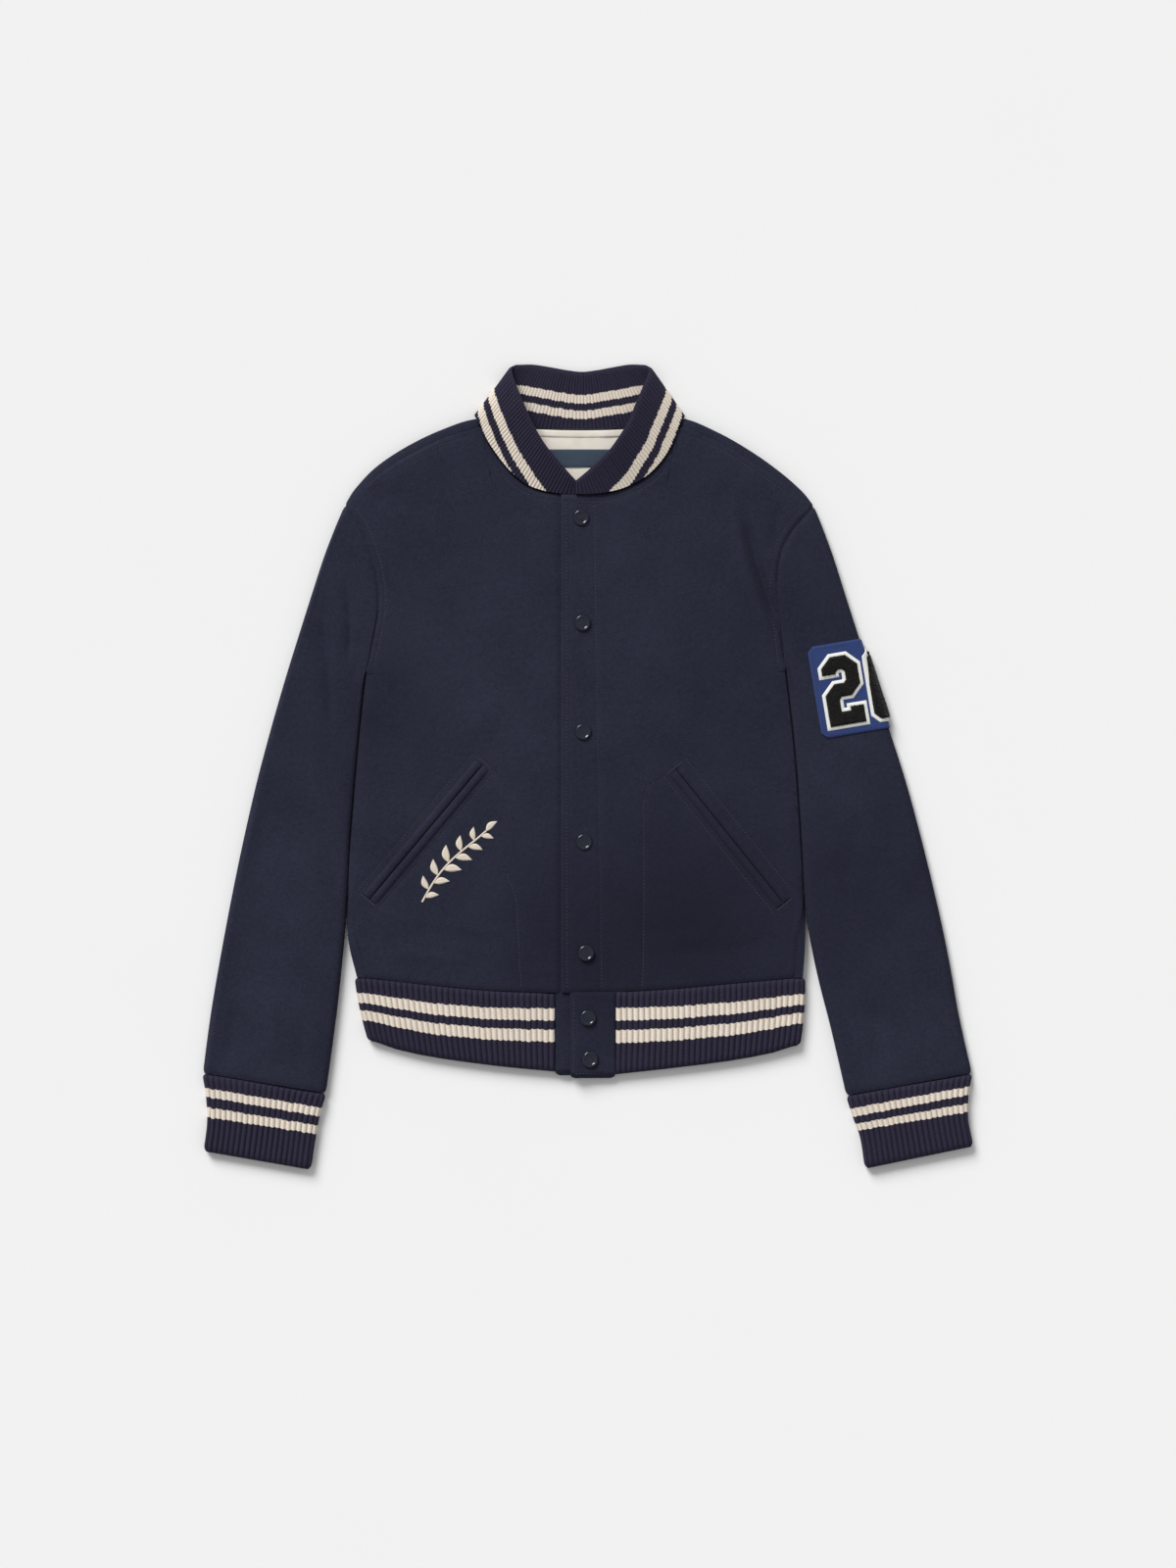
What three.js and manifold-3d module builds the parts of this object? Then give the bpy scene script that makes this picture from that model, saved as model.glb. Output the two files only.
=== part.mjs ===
import * as THREE from "three";
import Module from "manifold-3d";
import { mergeVertices } from "three/addons/utils/BufferGeometryUtils.js";

// Varsity jacket, closed and laid out flat with its back down. Millimetres, +Z up, +Y to the collar.
// Left and right are the wearer's, so the right front is on -X and the left front laps over it.
// z = 0 is the surface that the back, the sleeves, the cuffs and the hem rib rest on.

// Driving dimensions
const CLOTH = 2.8; // melton wool with its lining
const RIB_CLOTH = 3.2; // doubled rib knit, without the raised ribs
const LAID = 9.4; // front lying on back
const EDGE = LAID / 2; // radius of a folded edge
const QUARTER_FOLD = (EDGE * Math.PI) / 2;
const GAP = 0.4; // between pieces at a seam
const SEAT = 0.3; // between a piece and the panel it lies on
const LAP_RISE = 3.1; // how far the lapped front stands up at its edge
const LAP_WIDTH = 50;
const PLACKET_EDGE = -24.5; // edge of the left front, in x
const UNDERLAP_EDGE = 11; // edge of the right front, below the left one
const RIM_INSET = EDGE + 5; // where the plain panel ends and its folded edge starts
const ARM_INSET = 4;
const TIP_SEAM_INSET = 4.6; // shoulder seam from the shoulder's outermost line, at the sleeve
const NECK_SEAM_INSET = 8;
const RIB_RISE = 0.7;
const SNAP_DIAMETER = 15;
const SNAP_HEIGHT = 2.2;
const WELT_WIDTH = 8;
const WELT_HEIGHT = 1.6;
const PATCH_SEAT = 0.45; // over the sleeve, also where its curves are flattened
const PATCH_FELT = 1.2;
const EDGE_FELT = 0.9;
const CHENILLE = 1.8;
const STROKE = 12.5;
const STROKE_EDGE = 3;
const DIGIT_TILT = 9.5;

const table = (names, rows) =>
  rows.map((row) => Object.fromEntries(names.split(" ").map((name, i) => [name, row[i]])));
const curve = (rows) =>
  new THREE.CatmullRomCurve3(
    rows.map(({ x, y, z = 0 }) => new THREE.Vector3(x, y, z)),
    false,
    "centripetal",
  );
const { lerp, smoothstep } = THREE.MathUtils;

// Outlines of the body, each from the hem or the armpit upwards
const RIGHT = {
  side: curve(table("x y", [
    [-213.6, -192.6], [-218.7, -173], [-221.4, -155], [-220.3, -100],
    [-216.3, -42], [-210.6, 28], [-204.6, 85],
  ])),
  armhole: curve(table("x y", [
    [-204.6, 85], [-197.3, 117], [-192.7, 141], [-192.6, 163], [-196.6, 186], [-207.9, 217], [-223.2, 240],
  ])),
  shoulder: curve(table("x y", [
    [-223.2, 240], [-212, 257], [-190.4, 278.6], [-146.7, 304.7], [-103.4, 319.6],
  ])),
  neck: curve(table("x y", [
    [-100.9, 312], [-94.5, 300.2], [-69.3, 266.9], [-39.2, 251.4], [-11.7, 249.4],
  ])),
};
const LEFT = {
  side: curve(table("x y", [
    [198.8, -192.6], [200.5, -176], [200.3, -156], [198, -105.8], [192.6, -15.8], [188.6, 30], [182.2, 87],
  ])),
  armhole: curve(table("x y", [
    [182.2, 87], [178.4, 118], [173.8, 146], [173.7, 170], [178.4, 200], [191, 221], [207.4, 239],
  ])),
  shoulder: curve(table("x y", [
    [207.4, 239], [197, 252], [181.8, 266], [160.2, 283.1], [121.1, 306.5], [88.5, 319.8],
  ])),
  neck: curve(table("x y", [
    [85.4, 312.2], [80.8, 300.5], [57.6, 268.4], [22, 250.9], [-11.7, 249.4],
  ])),
};
const BACK_NECK = curve(table("x y", [
  [-103.4, 319.6], [-80, 314.5], [-45, 310.8], [-6, 309.4], [33, 310.8], [67, 314.5], [88.5, 319.8],
]));

// Seam of body and hem rib, and the rib's lower edge
const HEM = table("seamX seamY edgeX edgeY", [
  [-213.6, -193, -201, -252],
  [-181, -195.8, -173, -260],
  [-149.4, -199.4, -145, -266],
  [-90, -204.8, -88, -274],
  [-30.4, -207, -30.4, -279.5],
  [25.4, -206.3, 25.4, -282],
  [80, -203, 79, -276.3],
  [135, -198, 133, -269.4],
  [170, -195, 167, -263],
  [198.8, -193, 194, -256],
]);

// Sleeve outlines from the shoulder and the armpit to the cuff seam
const RIGHT_SLEEVE = table("outerX outerY innerX innerY", [
  [-223.2, 240, -204.6, 85],
  [-239.4, 200.3, -208.6, 57],
  [-258, 143.5, -212.6, 26],
  [-280.5, 71, -216.2, -20],
  [-303.3, -12, -220.1, -72],
  [-321.5, -93, -223, -130],
  [-336, -168, -226.6, -192],
  [-346.4, -229, -232.6, -243],
  [-353.2, -280.6, -240.4, -299],
]);
const LEFT_SLEEVE = table("outerX outerY innerX innerY", [
  [207.4, 239, 182.2, 87],
  [222.3, 200.3, 186.6, 60],
  [240.5, 143.5, 190.2, 28],
  [264, 71, 194, -20],
  [291, -12, 197.4, -72],
  [312.4, -93, 200.8, -130],
  [329.3, -168, 209, -185],
  [340.3, -229, 223, -241],
  [352, -280.6, 236.8, -301],
]);
const RIGHT_CUFF = table("outerX outerY innerX innerY", [
  [-353.4, -281.2, -240.6, -299.7],
  [-350.2, -301, -246.4, -319],
  [-349.2, -325, -250.2, -340],
  [-352.5, -352.5, -254.5, -369.5],
]);
const LEFT_CUFF = table("outerX outerY innerX innerY", [
  [352.1, -281.2, 237, -301.7],
  [348.6, -301, 243.4, -321],
  [348.4, -322, 249.5, -338],
  [353.4, -348, 254.4, -368.5],
]);

// Largest folds: a trough is negative, bend moves its middle sideways
const FOLDS = table("fromX fromY toX toY bend width height", [
  [142, 244, 187, 62, 1, 5, -2.6],
  [155, 240, 191, 92, 3, 9, 1.2],
  [176, 247, 161, 188, 3, 6, -1.1],
  [118, 264, 150, 226, 0, 13, -1],
  [-196, 262, -186, 240, 0, 6, -1],
  [-176, 256, -170, 232, 0, 6, -0.9],
  [-185, -152, -62, -170, 6, 7, -0.8],
  [-190, -172, -100, -184, 4, 6, 0.7],
  [60, -168, 178, -158, -5, 8, -0.7],
  [-226, 176, -222, 84, 4, 6, -1.5],
  [-249, 152, -236, 12, 3, 8, -1.3],
  [-210, 128, -214, 76, 0, 5, -1.2],
  [-292, -30, -262, -96, 4, 10, -1.1],
  [-290, -205, -287, -275, 0, 6, 1],
  [-322, -214, -331, -276, 0, 6, -1.2],
  [-262, -222, -262, -284, 0, 7, -1],
  [248, -40, 232, -110, 4, 10, -1.1],
  [262, -210, 268, -282, 0, 7, -1.1],
  [296, -214, 305, -276, 0, 6, 0.9],
  [326, -214, 331, -270, 0, 6, -1.1],
]);

const fade = (s) => smoothstep(s, 0, 0.3) * (1 - smoothstep(s, 0.7, 1));

// Sum of soft troughs and ridges, each a bell across a bent line that fades out at both ends.
function folds(x, y) {
  let height = 0;
  for (const fold of FOLDS) {
    const dx = fold.toX - fold.fromX;
    const dy = fold.toY - fold.fromY;
    const length = Math.hypot(dx, dy);
    const s = ((x - fold.fromX) * dx + (y - fold.fromY) * dy) / length ** 2;
    const across = ((y - fold.fromY) * dx - (x - fold.fromX) * dy) / length;
    const off = across - 4 * fold.bend * s * (1 - s);
    height += s > 0 && s < 1 ? fold.height * fade(s) * Math.exp(-((off / fold.width) ** 2)) : 0;
  }
  return height;
}

const lapRise = (x) => LAP_RISE * (1 - smoothstep(x, PLACKET_EDGE, PLACKET_EDGE + LAP_WIDTH));

// Point of a folded edge: path is the length from the outermost line, up and over or down and under,
// and depth goes into the cloth. In is the level direction from the edge into the garment.
function rim(edge, into, path, depth) {
  const side = Math.sign(path) || 1;
  const turn = Math.min(Math.abs(path) / EDGE, Math.PI / 2);
  const past = Math.max(Math.abs(path) - QUARTER_FOLD, 0);
  const reach = EDGE - (EDGE - depth) * Math.cos(turn) + past;
  const x = edge.x + into.x * reach;
  const y = edge.y + into.y * reach;
  const waves = side > 0 && past > 0 ? folds(x, y) * smoothstep(past, 0, 10) : 0;
  return new THREE.Vector3(x, y, EDGE + side * (EDGE - depth) * Math.sin(turn) + waves);
}
const RIM_PATH = QUARTER_FOLD + RIM_INSET - EDGE;
const pathAt = (inset) =>
  inset < EDGE ? EDGE * Math.acos(1 - inset / EDGE) : QUARTER_FOLD + inset - EDGE;

// Closed wall between two grids of points: both faces and a rim along each open edge.
function wall(outer, inner, round = false) {
  const rows = outer.length;
  const columns = outer[0].length;
  const points = [...outer.flat(), ...inner.flat()];
  const at = (i, j, side) => side * rows * columns + i * columns + (j % columns);
  let faces = [];
  const quad = (a, b, c, d) => faces.push([a, b, c], [a, c, d]);
  const across = round ? columns : columns - 1;
  for (let i = 0; i + 1 < rows; i++) {
    for (let j = 0; j < across; j++) {
      quad(at(i, j, 0), at(i, j + 1, 0), at(i + 1, j + 1, 0), at(i + 1, j, 0));
      quad(at(i, j, 1), at(i + 1, j, 1), at(i + 1, j + 1, 1), at(i, j + 1, 1));
    }
  }
  for (let j = 0; j < across; j++) {
    quad(at(0, j, 0), at(0, j, 1), at(0, j + 1, 1), at(0, j + 1, 0));
    quad(at(rows - 1, j, 0), at(rows - 1, j + 1, 0), at(rows - 1, j + 1, 1), at(rows - 1, j, 1));
  }
  for (let i = 0; i + 1 < rows && !round; i++) {
    quad(at(i, 0, 0), at(i + 1, 0, 0), at(i + 1, 0, 1), at(i, 0, 1));
    quad(at(i, columns - 1, 0), at(i, columns - 1, 1), at(i + 1, columns - 1, 1), at(i + 1, columns - 1, 0));
  }
  const volume = faces.reduce((sum, [a, b, c]) => {
    const normal = new THREE.Vector3().crossVectors(points[b], points[c]);
    return sum + points[a].dot(normal);
  }, 0);
  if (volume < 0) faces = faces.map(([a, b, c]) => [a, c, b]);
  const geometry = new THREE.BufferGeometry();
  geometry.setAttribute("position", new THREE.Float32BufferAttribute(points.flatMap((p) => p.toArray()), 3));
  geometry.setIndex(faces.flat());
  geometry.computeVertexNormals();
  return geometry;
}

const jacket = new THREE.Group();
const MATERIALS = {
  wool: new THREE.MeshStandardMaterial({ color: 0x232a3a, roughness: 0.95, metalness: 0 }),
  rib: new THREE.MeshStandardMaterial({ color: 0x2a2738, roughness: 0.95, metalness: 0 }),
  lining: new THREE.MeshStandardMaterial({ color: 0xe8e0d6, roughness: 0.8, metalness: 0 }),
  label: new THREE.MeshStandardMaterial({ color: 0x324256, roughness: 0.7, metalness: 0 }),
  felt: new THREE.MeshStandardMaterial({ color: 0x2c4280, roughness: 0.95, metalness: 0 }),
  edging: new THREE.MeshStandardMaterial({ color: 0xebebe8, roughness: 0.9, metalness: 0 }),
  chenille: new THREE.MeshStandardMaterial({ color: 0x12100e, roughness: 1, metalness: 0 }),
  snap: new THREE.MeshStandardMaterial({ color: 0x1e2536, roughness: 0.3, metalness: 0.4 }),
};
function add(name, geometry, material) {
  const mesh = new THREE.Mesh(geometry, MATERIALS[material]);
  mesh.name = name;
  jacket.add(mesh);
  return mesh;
}

// Lengths along the armhole, shared by the panels and the sleeve: the folded start at the armpit,
// the plain stretch and the folded end at the shoulder tip.
const PIT_STEPS = [0, 0.29 * EDGE, EDGE];
const MAIN_STEPS = 8;
const EDGE_STEPS = 3;
const SIDE_ROWS = 9;

const turned = (v, sign) => new THREE.Vector3(-v.y * sign, v.x * sign, 0).normalize();

// Point of the armhole at a length from the armpit, moved off the seam by half its gap.
function armholePoint(half, length, off) {
  const u = THREE.MathUtils.clamp(length / half.armhole.getLength(), 0, 1);
  const into = turned(half.armhole.getTangentAt(u), half === RIGHT ? -1 : 1);
  return half.armhole.getPointAt(u).addScaledVector(into, off);
}
const mainLengths = (half) => {
  const last = half.armhole.getLength() - RIM_INSET;
  return Array.from({ length: MAIN_STEPS }, (_, k) => lerp(EDGE, last, (k + 1) / MAIN_STEPS));
};
// Path of the side seam round the folded side edge: at its outermost line, and on top near the hem
const sideSeamPath = (y) => pathAt(10) * smoothstep(-y, 95, 172);

// Side edge of a body panel from hem to armpit, with the direction into the body.
function sideEdge(half, t) {
  const across = turned(half.side.getTangentAt(t), half === RIGHT ? -1 : 1);
  const alongHem = new THREE.Vector3(half === RIGHT ? 1 : -1, -0.08, 0);
  const into = alongHem.lerp(across, smoothstep(t, 0, 0.1)).normalize();
  return { edge: half.side.getPointAt(t), into };
}
function shoulderEdge(half, t) {
  const tip = turned(half.shoulder.getTangentAt(t), half === RIGHT ? -1 : 1);
  const along = half.armhole.getTangentAt(1).negate();
  const into = along.lerp(tip, smoothstep(t, 0, 0.12)).setZ(0).normalize();
  return { edge: half.shoulder.getPointAt(t), into };
}
const shoulderSeamInset = (t) => lerp(TIP_SEAM_INSET, NECK_SEAM_INSET, smoothstep(t, 0.05, 0.5));

const SHOULDER_COLUMNS = [0.12, 0.3, 0.52, 0.76, 1];
const FRONT_NECK = [0.18, 0.36, 0.54, 0.77, 1];
const BACK_NECK_SHARES = [0.06, 0.16, 0.33, 0.5, 0.67, 0.84, 0.94];

// Patch between four edges (Coons): rows run up the panel, columns across it.
function coons(bottom, top, first, last) {
  return first.map((start, i) => {
    const v = i / (first.length - 1);
    return bottom.map((low, j) => {
      const u = j / (bottom.length - 1);
      const mix = (a, b, f) => a.clone().lerp(b, f);
      const corners = mix(mix(bottom[0], bottom.at(-1), u), mix(top[0], top.at(-1), u), v);
      return mix(low, top[j], v).add(mix(start, last[i], u)).sub(corners);
    });
  });
}

const bodyTop = (x, y) => LAID + folds(x, y);
const hemAt = (x, key) => {
  const k = Math.max(1, HEM.findIndex((row) => row.seamX >= x));
  const [a, b] = [HEM[k - 1], HEM[k]];
  return lerp(a[key], b[key], (x - a.seamX) / (b.seamX - a.seamX));
};

// Rows of an armhole edge: lengths from the armpit, then paths round the folded shoulder tip.
const armRows = (half) => [...PIT_STEPS.slice(1), ...mainLengths(half)];
const SHARES = (steps) => Array.from({ length: steps + 1 }, (_, k) => k / steps);

// Height of a panel's face near the armpit, where it bends down to the folded edge
function pitDrop(half, p, depth) {
  const pit = half.side.getPointAt(1);
  const reach = Math.hypot(p.x - pit.x, p.y - pit.y);
  const turn = reach < EDGE ? Math.acos(1 - reach / EDGE) : Math.PI / 2;
  return (EDGE - depth) * (1 - Math.sin(turn));
}
const onTop = (half, level, depth) => (p) =>
  new THREE.Vector3(p.x, p.y, level(p.x, p.y) - depth - pitDrop(half, p, depth));
const onFloor = (half, depth) => (p) => new THREE.Vector3(p.x, p.y, depth + pitDrop(half, p, depth));

// Folded columns at one side of a panel, from its seam to its plain stretch. Side is +1 on top.
function edgeColumns(half, steps, side, flat, depth) {
  const wrap = side < 0;
  const rows = Array.from({ length: SIDE_ROWS + 1 }, (_, i) => {
    const { edge, into } = sideEdge(half, i / SIDE_ROWS);
    const seam = sideSeamPath(edge.y);
    const inner = wrap ? -RIM_PATH : Math.max(RIM_PATH, seam + 5);
    const start = seam + (side * SEAT) / 2;
    return SHARES(steps).map((share) => rim(edge, into, lerp(start, inner, share), depth));
  });
  const arms = armRows(half).map((length) =>
    SHARES(steps).map((share) => flat(armholePoint(half, length, GAP / 2 + share * ARM_INSET))),
  );
  return [...rows, ...arms];
}

// Folded rows along a shoulder, from the plain panel to the seam. At the tip they follow the armhole.
function shoulderRows(half, columns, steps, side, depth) {
  return SHARES(steps).slice(1).map((share) =>
    columns.map((t) => {
      const { edge, into } = shoulderEdge(half, t);
      const inset = t === 0 ? GAP / 2 : 0;
      const off = turned(into, half === RIGHT ? 1 : -1).multiplyScalar(inset);
      const seam = pathAt(shoulderSeamInset(t)) + (side * SEAT) / 2;
      return rim(edge.clone().add(off), into, lerp(side * RIM_PATH, seam, share), depth);
    }),
  );
}

const shoulderTs = (half, steps) => [
  ...SHARES(steps).map((share) => (share * ARM_INSET) / half.shoulder.getLength()),
  ...SHOULDER_COLUMNS,
];
const shoulderLine = (half, ts, side) =>
  ts.map((t) => {
    const { edge, into } = shoulderEdge(half, t);
    return rim(edge, into, side * RIM_PATH, 0);
  });
const neckLine = (neck, shares, sign, off) =>
  shares.map((t) => neck.getPointAt(t).addScaledVector(turned(neck.getTangentAt(t), sign), off));

// Front panel: folded side edge, plain patch, shoulder seam and neck edge. Level is its top's height.
function frontGrid(half, frontX, level, depth) {
  const sign = half === RIGHT ? -1 : 1;
  const steps = EDGE_STEPS;
  const place = onTop(half, level, depth);
  const side = edgeColumns(half, steps, 1, place, depth);
  const plain = edgeColumns(half, steps, 1, (p) => p, 0).map((row) => row.at(-1).clone());
  const ts = shoulderTs(half, steps);
  const tops = [...shoulderLine(half, ts.slice(steps), 1), ...neckLine(half.neck, FRONT_NECK, sign, 5)];
  const last = tops.length - 1;
  tops[last].x = frontX;
  const bottoms = tops.map((_, j) => {
    const x = lerp(plain[0].x, frontX, j / last);
    return new THREE.Vector3(x, hemAt(x, "seamY") + GAP, 0);
  });
  bottoms[0].copy(plain[0]);
  const fronts = plain.map((_, i) =>
    new THREE.Vector3(frontX, lerp(bottoms[last].y, tops[last].y, i / (plain.length - 1)), 0),
  );
  const patch = coons(bottoms, tops, plain, fronts).map((row, i) => [
    ...side[i],
    ...row.slice(1).map(place),
  ]);
  const rims = shoulderRows(half, ts, steps, 1, depth).map((row, k) => {
    const off = lerp(5, GAP / 2, (k + 1) / steps);
    const neck = neckLine(half.neck, FRONT_NECK, sign, off);
    neck.at(-1).x = frontX;
    return [...row, ...neck.map(place)];
  });
  return [...patch, ...rims];
}

// Back panel: lies on the floor and folds up round both sides and shoulders to their seams.
function backGrid(depth) {
  const steps = EDGE_STEPS;
  const floor = (p) => onFloor(p.x < 0 ? RIGHT : LEFT, depth)(p);
  const sideOf = (half) => edgeColumns(half, steps, -1, floor, depth);
  const plainOf = (half) => edgeColumns(half, steps, -1, (p) => p, 0).map((row) => row.at(-1).clone());
  const [right, left] = [sideOf(RIGHT), sideOf(LEFT)];
  const [first, last] = [plainOf(RIGHT), plainOf(LEFT)];
  const [rightTs, leftTs] = [shoulderTs(RIGHT, steps), shoulderTs(LEFT, steps)];
  const neckAt = (off) => neckLine(BACK_NECK, BACK_NECK_SHARES, -1, off);
  const tops = [
    ...shoulderLine(RIGHT, rightTs.slice(steps), -1),
    ...neckAt(RIM_INSET),
    ...shoulderLine(LEFT, leftTs.slice(steps), -1).reverse(),
  ];
  const count = tops.length;
  const bottoms = tops.map((_, j) => {
    const x = lerp(first[0].x, last[0].x, j / (count - 1));
    return new THREE.Vector3(x, hemAt(x, "seamY") + GAP, 0);
  });
  bottoms[0].copy(first[0]);
  bottoms[count - 1].copy(last[0]);
  const patch = coons(bottoms, tops, first, last).map((row, i) => [
    ...right[i],
    ...row.slice(1, -1).map(floor),
    ...left[i].toReversed(),
  ]);
  const rightRims = shoulderRows(RIGHT, rightTs, steps, -1, depth);
  const leftRims = shoulderRows(LEFT, leftTs, steps, -1, depth);
  const rims = rightRims.map((row, k) => [
    ...row,
    ...neckAt(lerp(RIM_INSET, GAP, (k + 1) / steps)).map(floor),
    ...leftRims[k].toReversed(),
  ]);
  return [...patch, ...rims];
}

const level = (x, y) => bodyTop(x, y) + lapRise(x);
const underLevel = (x, y) => bodyTop(x, y) + (x > PLACKET_EDGE ? lapRise(x) - CLOTH - SEAT : 0);
const rightFront = (depth) => frontGrid(RIGHT, UNDERLAP_EDGE, underLevel, depth);
const leftFront = (depth) => frontGrid(LEFT, PLACKET_EDGE, level, depth);
add("back", wall(backGrid(0), backGrid(CLOTH)), "wool");
add("right_front", wall(rightFront(0), rightFront(CLOTH)), "wool");
add("left_front", wall(leftFront(0), leftFront(CLOTH)), "wool");

// Flattened tube: rings between an outer and an inner edge line. Ring points are the armpit side's
// fold, the top, the shoulder side's fold and the underside.
function sleeveRing(half, outer, inner, share, first, depth) {
  const sign = half === RIGHT ? -1 : 1;
  const across = new THREE.Vector3().subVectors(outer, inner).setZ(0);
  const width = across.length();
  const e = across.normalize();
  const bulge = (a) => {
    const u = THREE.MathUtils.clamp(a, 0, 1);
    const arm = half.armhole.getPointAt(u);
    const chord = half.armhole.getPointAt(0).lerp(half.armhole.getPointAt(1), u);
    return arm.sub(chord).multiplyScalar((1 - share) ** 3);
  };
  const length = half.armhole.getLength();
  const off = -GAP / 2;
  const fold = (path) => {
    if (!first) return rim(inner, e, path, depth);
    const turn = Math.min(Math.abs(path) / EDGE, Math.PI / 2);
    const p = armholePoint(half, EDGE * (1 - Math.cos(turn)), off);
    const z = EDGE + Math.sign(path) * (EDGE - depth) * Math.sin(turn);
    return path === 0 ? p.addScaledVector(e, depth).setZ(EDGE) : p.setZ(z);
  };
  const tip = (path) => {
    if (!first) return rim(outer, e.clone().negate(), path, depth);
    const { edge, into } = shoulderEdge(half, 0);
    return rim(edge.clone().addScaledVector(turned(into, sign), GAP / 2), into, path, depth);
  };
  const main = (k, top) => {
    const a = mainLengths(half)[k];
    let p;
    if (first) p = armholePoint(half, a, off);
    else p = inner.clone().addScaledVector(e, (a / length) * width).add(bulge(a / length));
    const inset = Math.min(a / length, 1 - a / length) * width;
    return p.setZ(top ? LAID + folds(p.x, p.y) * smoothstep(inset, EDGE, 16) - depth : depth);
  };
  const seam = pathAt(TIP_SEAM_INSET);
  const tops = Array.from({ length: MAIN_STEPS }, (_, k) => main(k, true));
  const unders = Array.from({ length: MAIN_STEPS }, (_, k) => main(k, false)).reverse();
  return [
    ...[-QUARTER_FOLD, -EDGE * Math.acos(0.71), 0, EDGE * Math.acos(0.71), QUARTER_FOLD].map(fold),
    ...tops.slice(0, -1),
    ...SHARES(EDGE_STEPS).map((f) => tip(lerp(RIM_PATH, seam, f))),
    ...SHARES(EDGE_STEPS).slice(1).map((f) => tip(lerp(seam, -RIM_PATH, f))),
    ...unders.slice(1),
  ];
}

const SLEEVE_RINGS = 14;
function sleeve(half, rows, depth) {
  const outers = curve(rows.map((row) => ({ x: row.outerX, y: row.outerY })));
  const inners = curve(rows.map((row) => ({ x: row.innerX, y: row.innerY })));
  return SHARES(SLEEVE_RINGS).map((t, i) =>
    sleeveRing(half, outers.getPoint(t), inners.getPoint(t), Math.min(t * 2.2, 1), i === 0, depth),
  );
}
add("right_sleeve", wall(sleeve(RIGHT, RIGHT_SLEEVE, 0), sleeve(RIGHT, RIGHT_SLEEVE, CLOTH), true), "wool");
add("left_sleeve", wall(sleeve(LEFT, LEFT_SLEEVE, 0), sleeve(LEFT, LEFT_SLEEVE, CLOTH), true), "wool");

// Rib knit ring or strip: its outer points stand up on every other column, its inside is plain.
const ribZ = (k, depth) => (depth > 0 ? LAID - depth : LAID - RIB_RISE / 2 + (k % 2) * RIB_RISE);

function cuffRing({ outerX, outerY, innerX, innerY }, ribs, depth) {
  const outer = new THREE.Vector3(outerX, outerY, 0);
  const inner = new THREE.Vector3(innerX, innerY, 0);
  const across = outer.clone().sub(inner);
  const width = across.length();
  const e = across.normalize();
  const foldShares = SHARES(4).map((f) => lerp(-QUARTER_FOLD, QUARTER_FOLD, f));
  const tops = Array.from({ length: 2 * ribs - 1 }, (_, k) => {
    const a = lerp(EDGE, width - EDGE, (k + 1) / (2 * ribs));
    return inner.clone().addScaledVector(e, a).setZ(ribZ(k, depth));
  });
  const unders = [0.75, 0.5, 0.25].map((f) => inner.clone().addScaledVector(e, f * width).setZ(depth));
  return [
    ...foldShares.map((path) => rim(inner, e, path, depth)),
    ...tops,
    ...foldShares.map((path) => rim(outer, e.clone().negate(), -path, depth)),
    ...unders,
  ];
}
const CUFF_RIBS = 19;
for (const [name, rows] of [["right_cuff", RIGHT_CUFF], ["left_cuff", LEFT_CUFF]]) {
  const rings = (depth) => rows.map((row) => cuffRing(row, CUFF_RIBS, depth));
  add(name, wall(rings(0), rings(RIB_CLOTH), true), "rib");
}

// Hem rib: one strip from the right front's tab round the back to the left front's tab.
const OPENING_ROW = 5;
const hemSide = (rows) => ({
  seam: curve(rows.map((row) => ({ x: row.seamX, y: row.seamY - GAP / 2 }))),
  edge: curve(rows.map((row) => ({ x: row.edgeX, y: row.edgeY }))),
});
const RIGHT_HEM = hemSide(HEM.slice(0, OPENING_ROW));
const LEFT_HEM = hemSide(HEM.slice(OPENING_ROW));
const HEM_RIBS = { right: 33, left: 32 };
const HEM_BULGE = 1.4;
function hemStrip(share, depth) {
  const at = (side, t) => side.seam.getPointAt(t).lerp(side.edge.getPointAt(t), share);
  const bulge = HEM_BULGE * 4 * share * (1 - share);
  const west = new THREE.Vector3(-1, 0, 0);
  const east = new THREE.Vector3(1, 0, 0);
  const first = at(RIGHT_HEM, 0).addScaledVector(west, bulge);
  const last = at(LEFT_HEM, 1).addScaledVector(east, bulge);
  const topRow = (side, ribs, from, to, insetFrom, insetTo) =>
    SHARES(2 * ribs).map((f, k) => {
      const point = at(side, lerp(from, to, f));
      return point.setX(point.x + lerp(insetFrom, insetTo, f)).setZ(ribZ(k, depth));
    });
  const foldPaths = SHARES(4).map((f) => lerp(QUARTER_FOLD, -QUARTER_FOLD, f));
  const unders = [0.25, 0.6, 1].map((t) => at(RIGHT_HEM, t).setZ(depth));
  const leftUnders = [0, 0.4, 0.75].map((t) => at(LEFT_HEM, t).setZ(depth));
  return [
    ...topRow(RIGHT_HEM, HEM_RIBS.right, 1, 0, GAP, EDGE - bulge),
    ...foldPaths.slice(1).map((path) => rim(first, east, path, depth)),
    ...unders,
    ...leftUnders,
    ...foldPaths.toReversed().map((path) => rim(last, west, path, depth)),
    ...topRow(LEFT_HEM, HEM_RIBS.left, 1, 0, bulge - EDGE, -GAP).slice(1),
  ];
}
const hemRows = (depth) => [0, 0.5, 1].map((share) => hemStrip(share, depth));
add("hem_rib", wall(hemRows(0), hemRows(RIB_CLOTH)), "rib");

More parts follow.
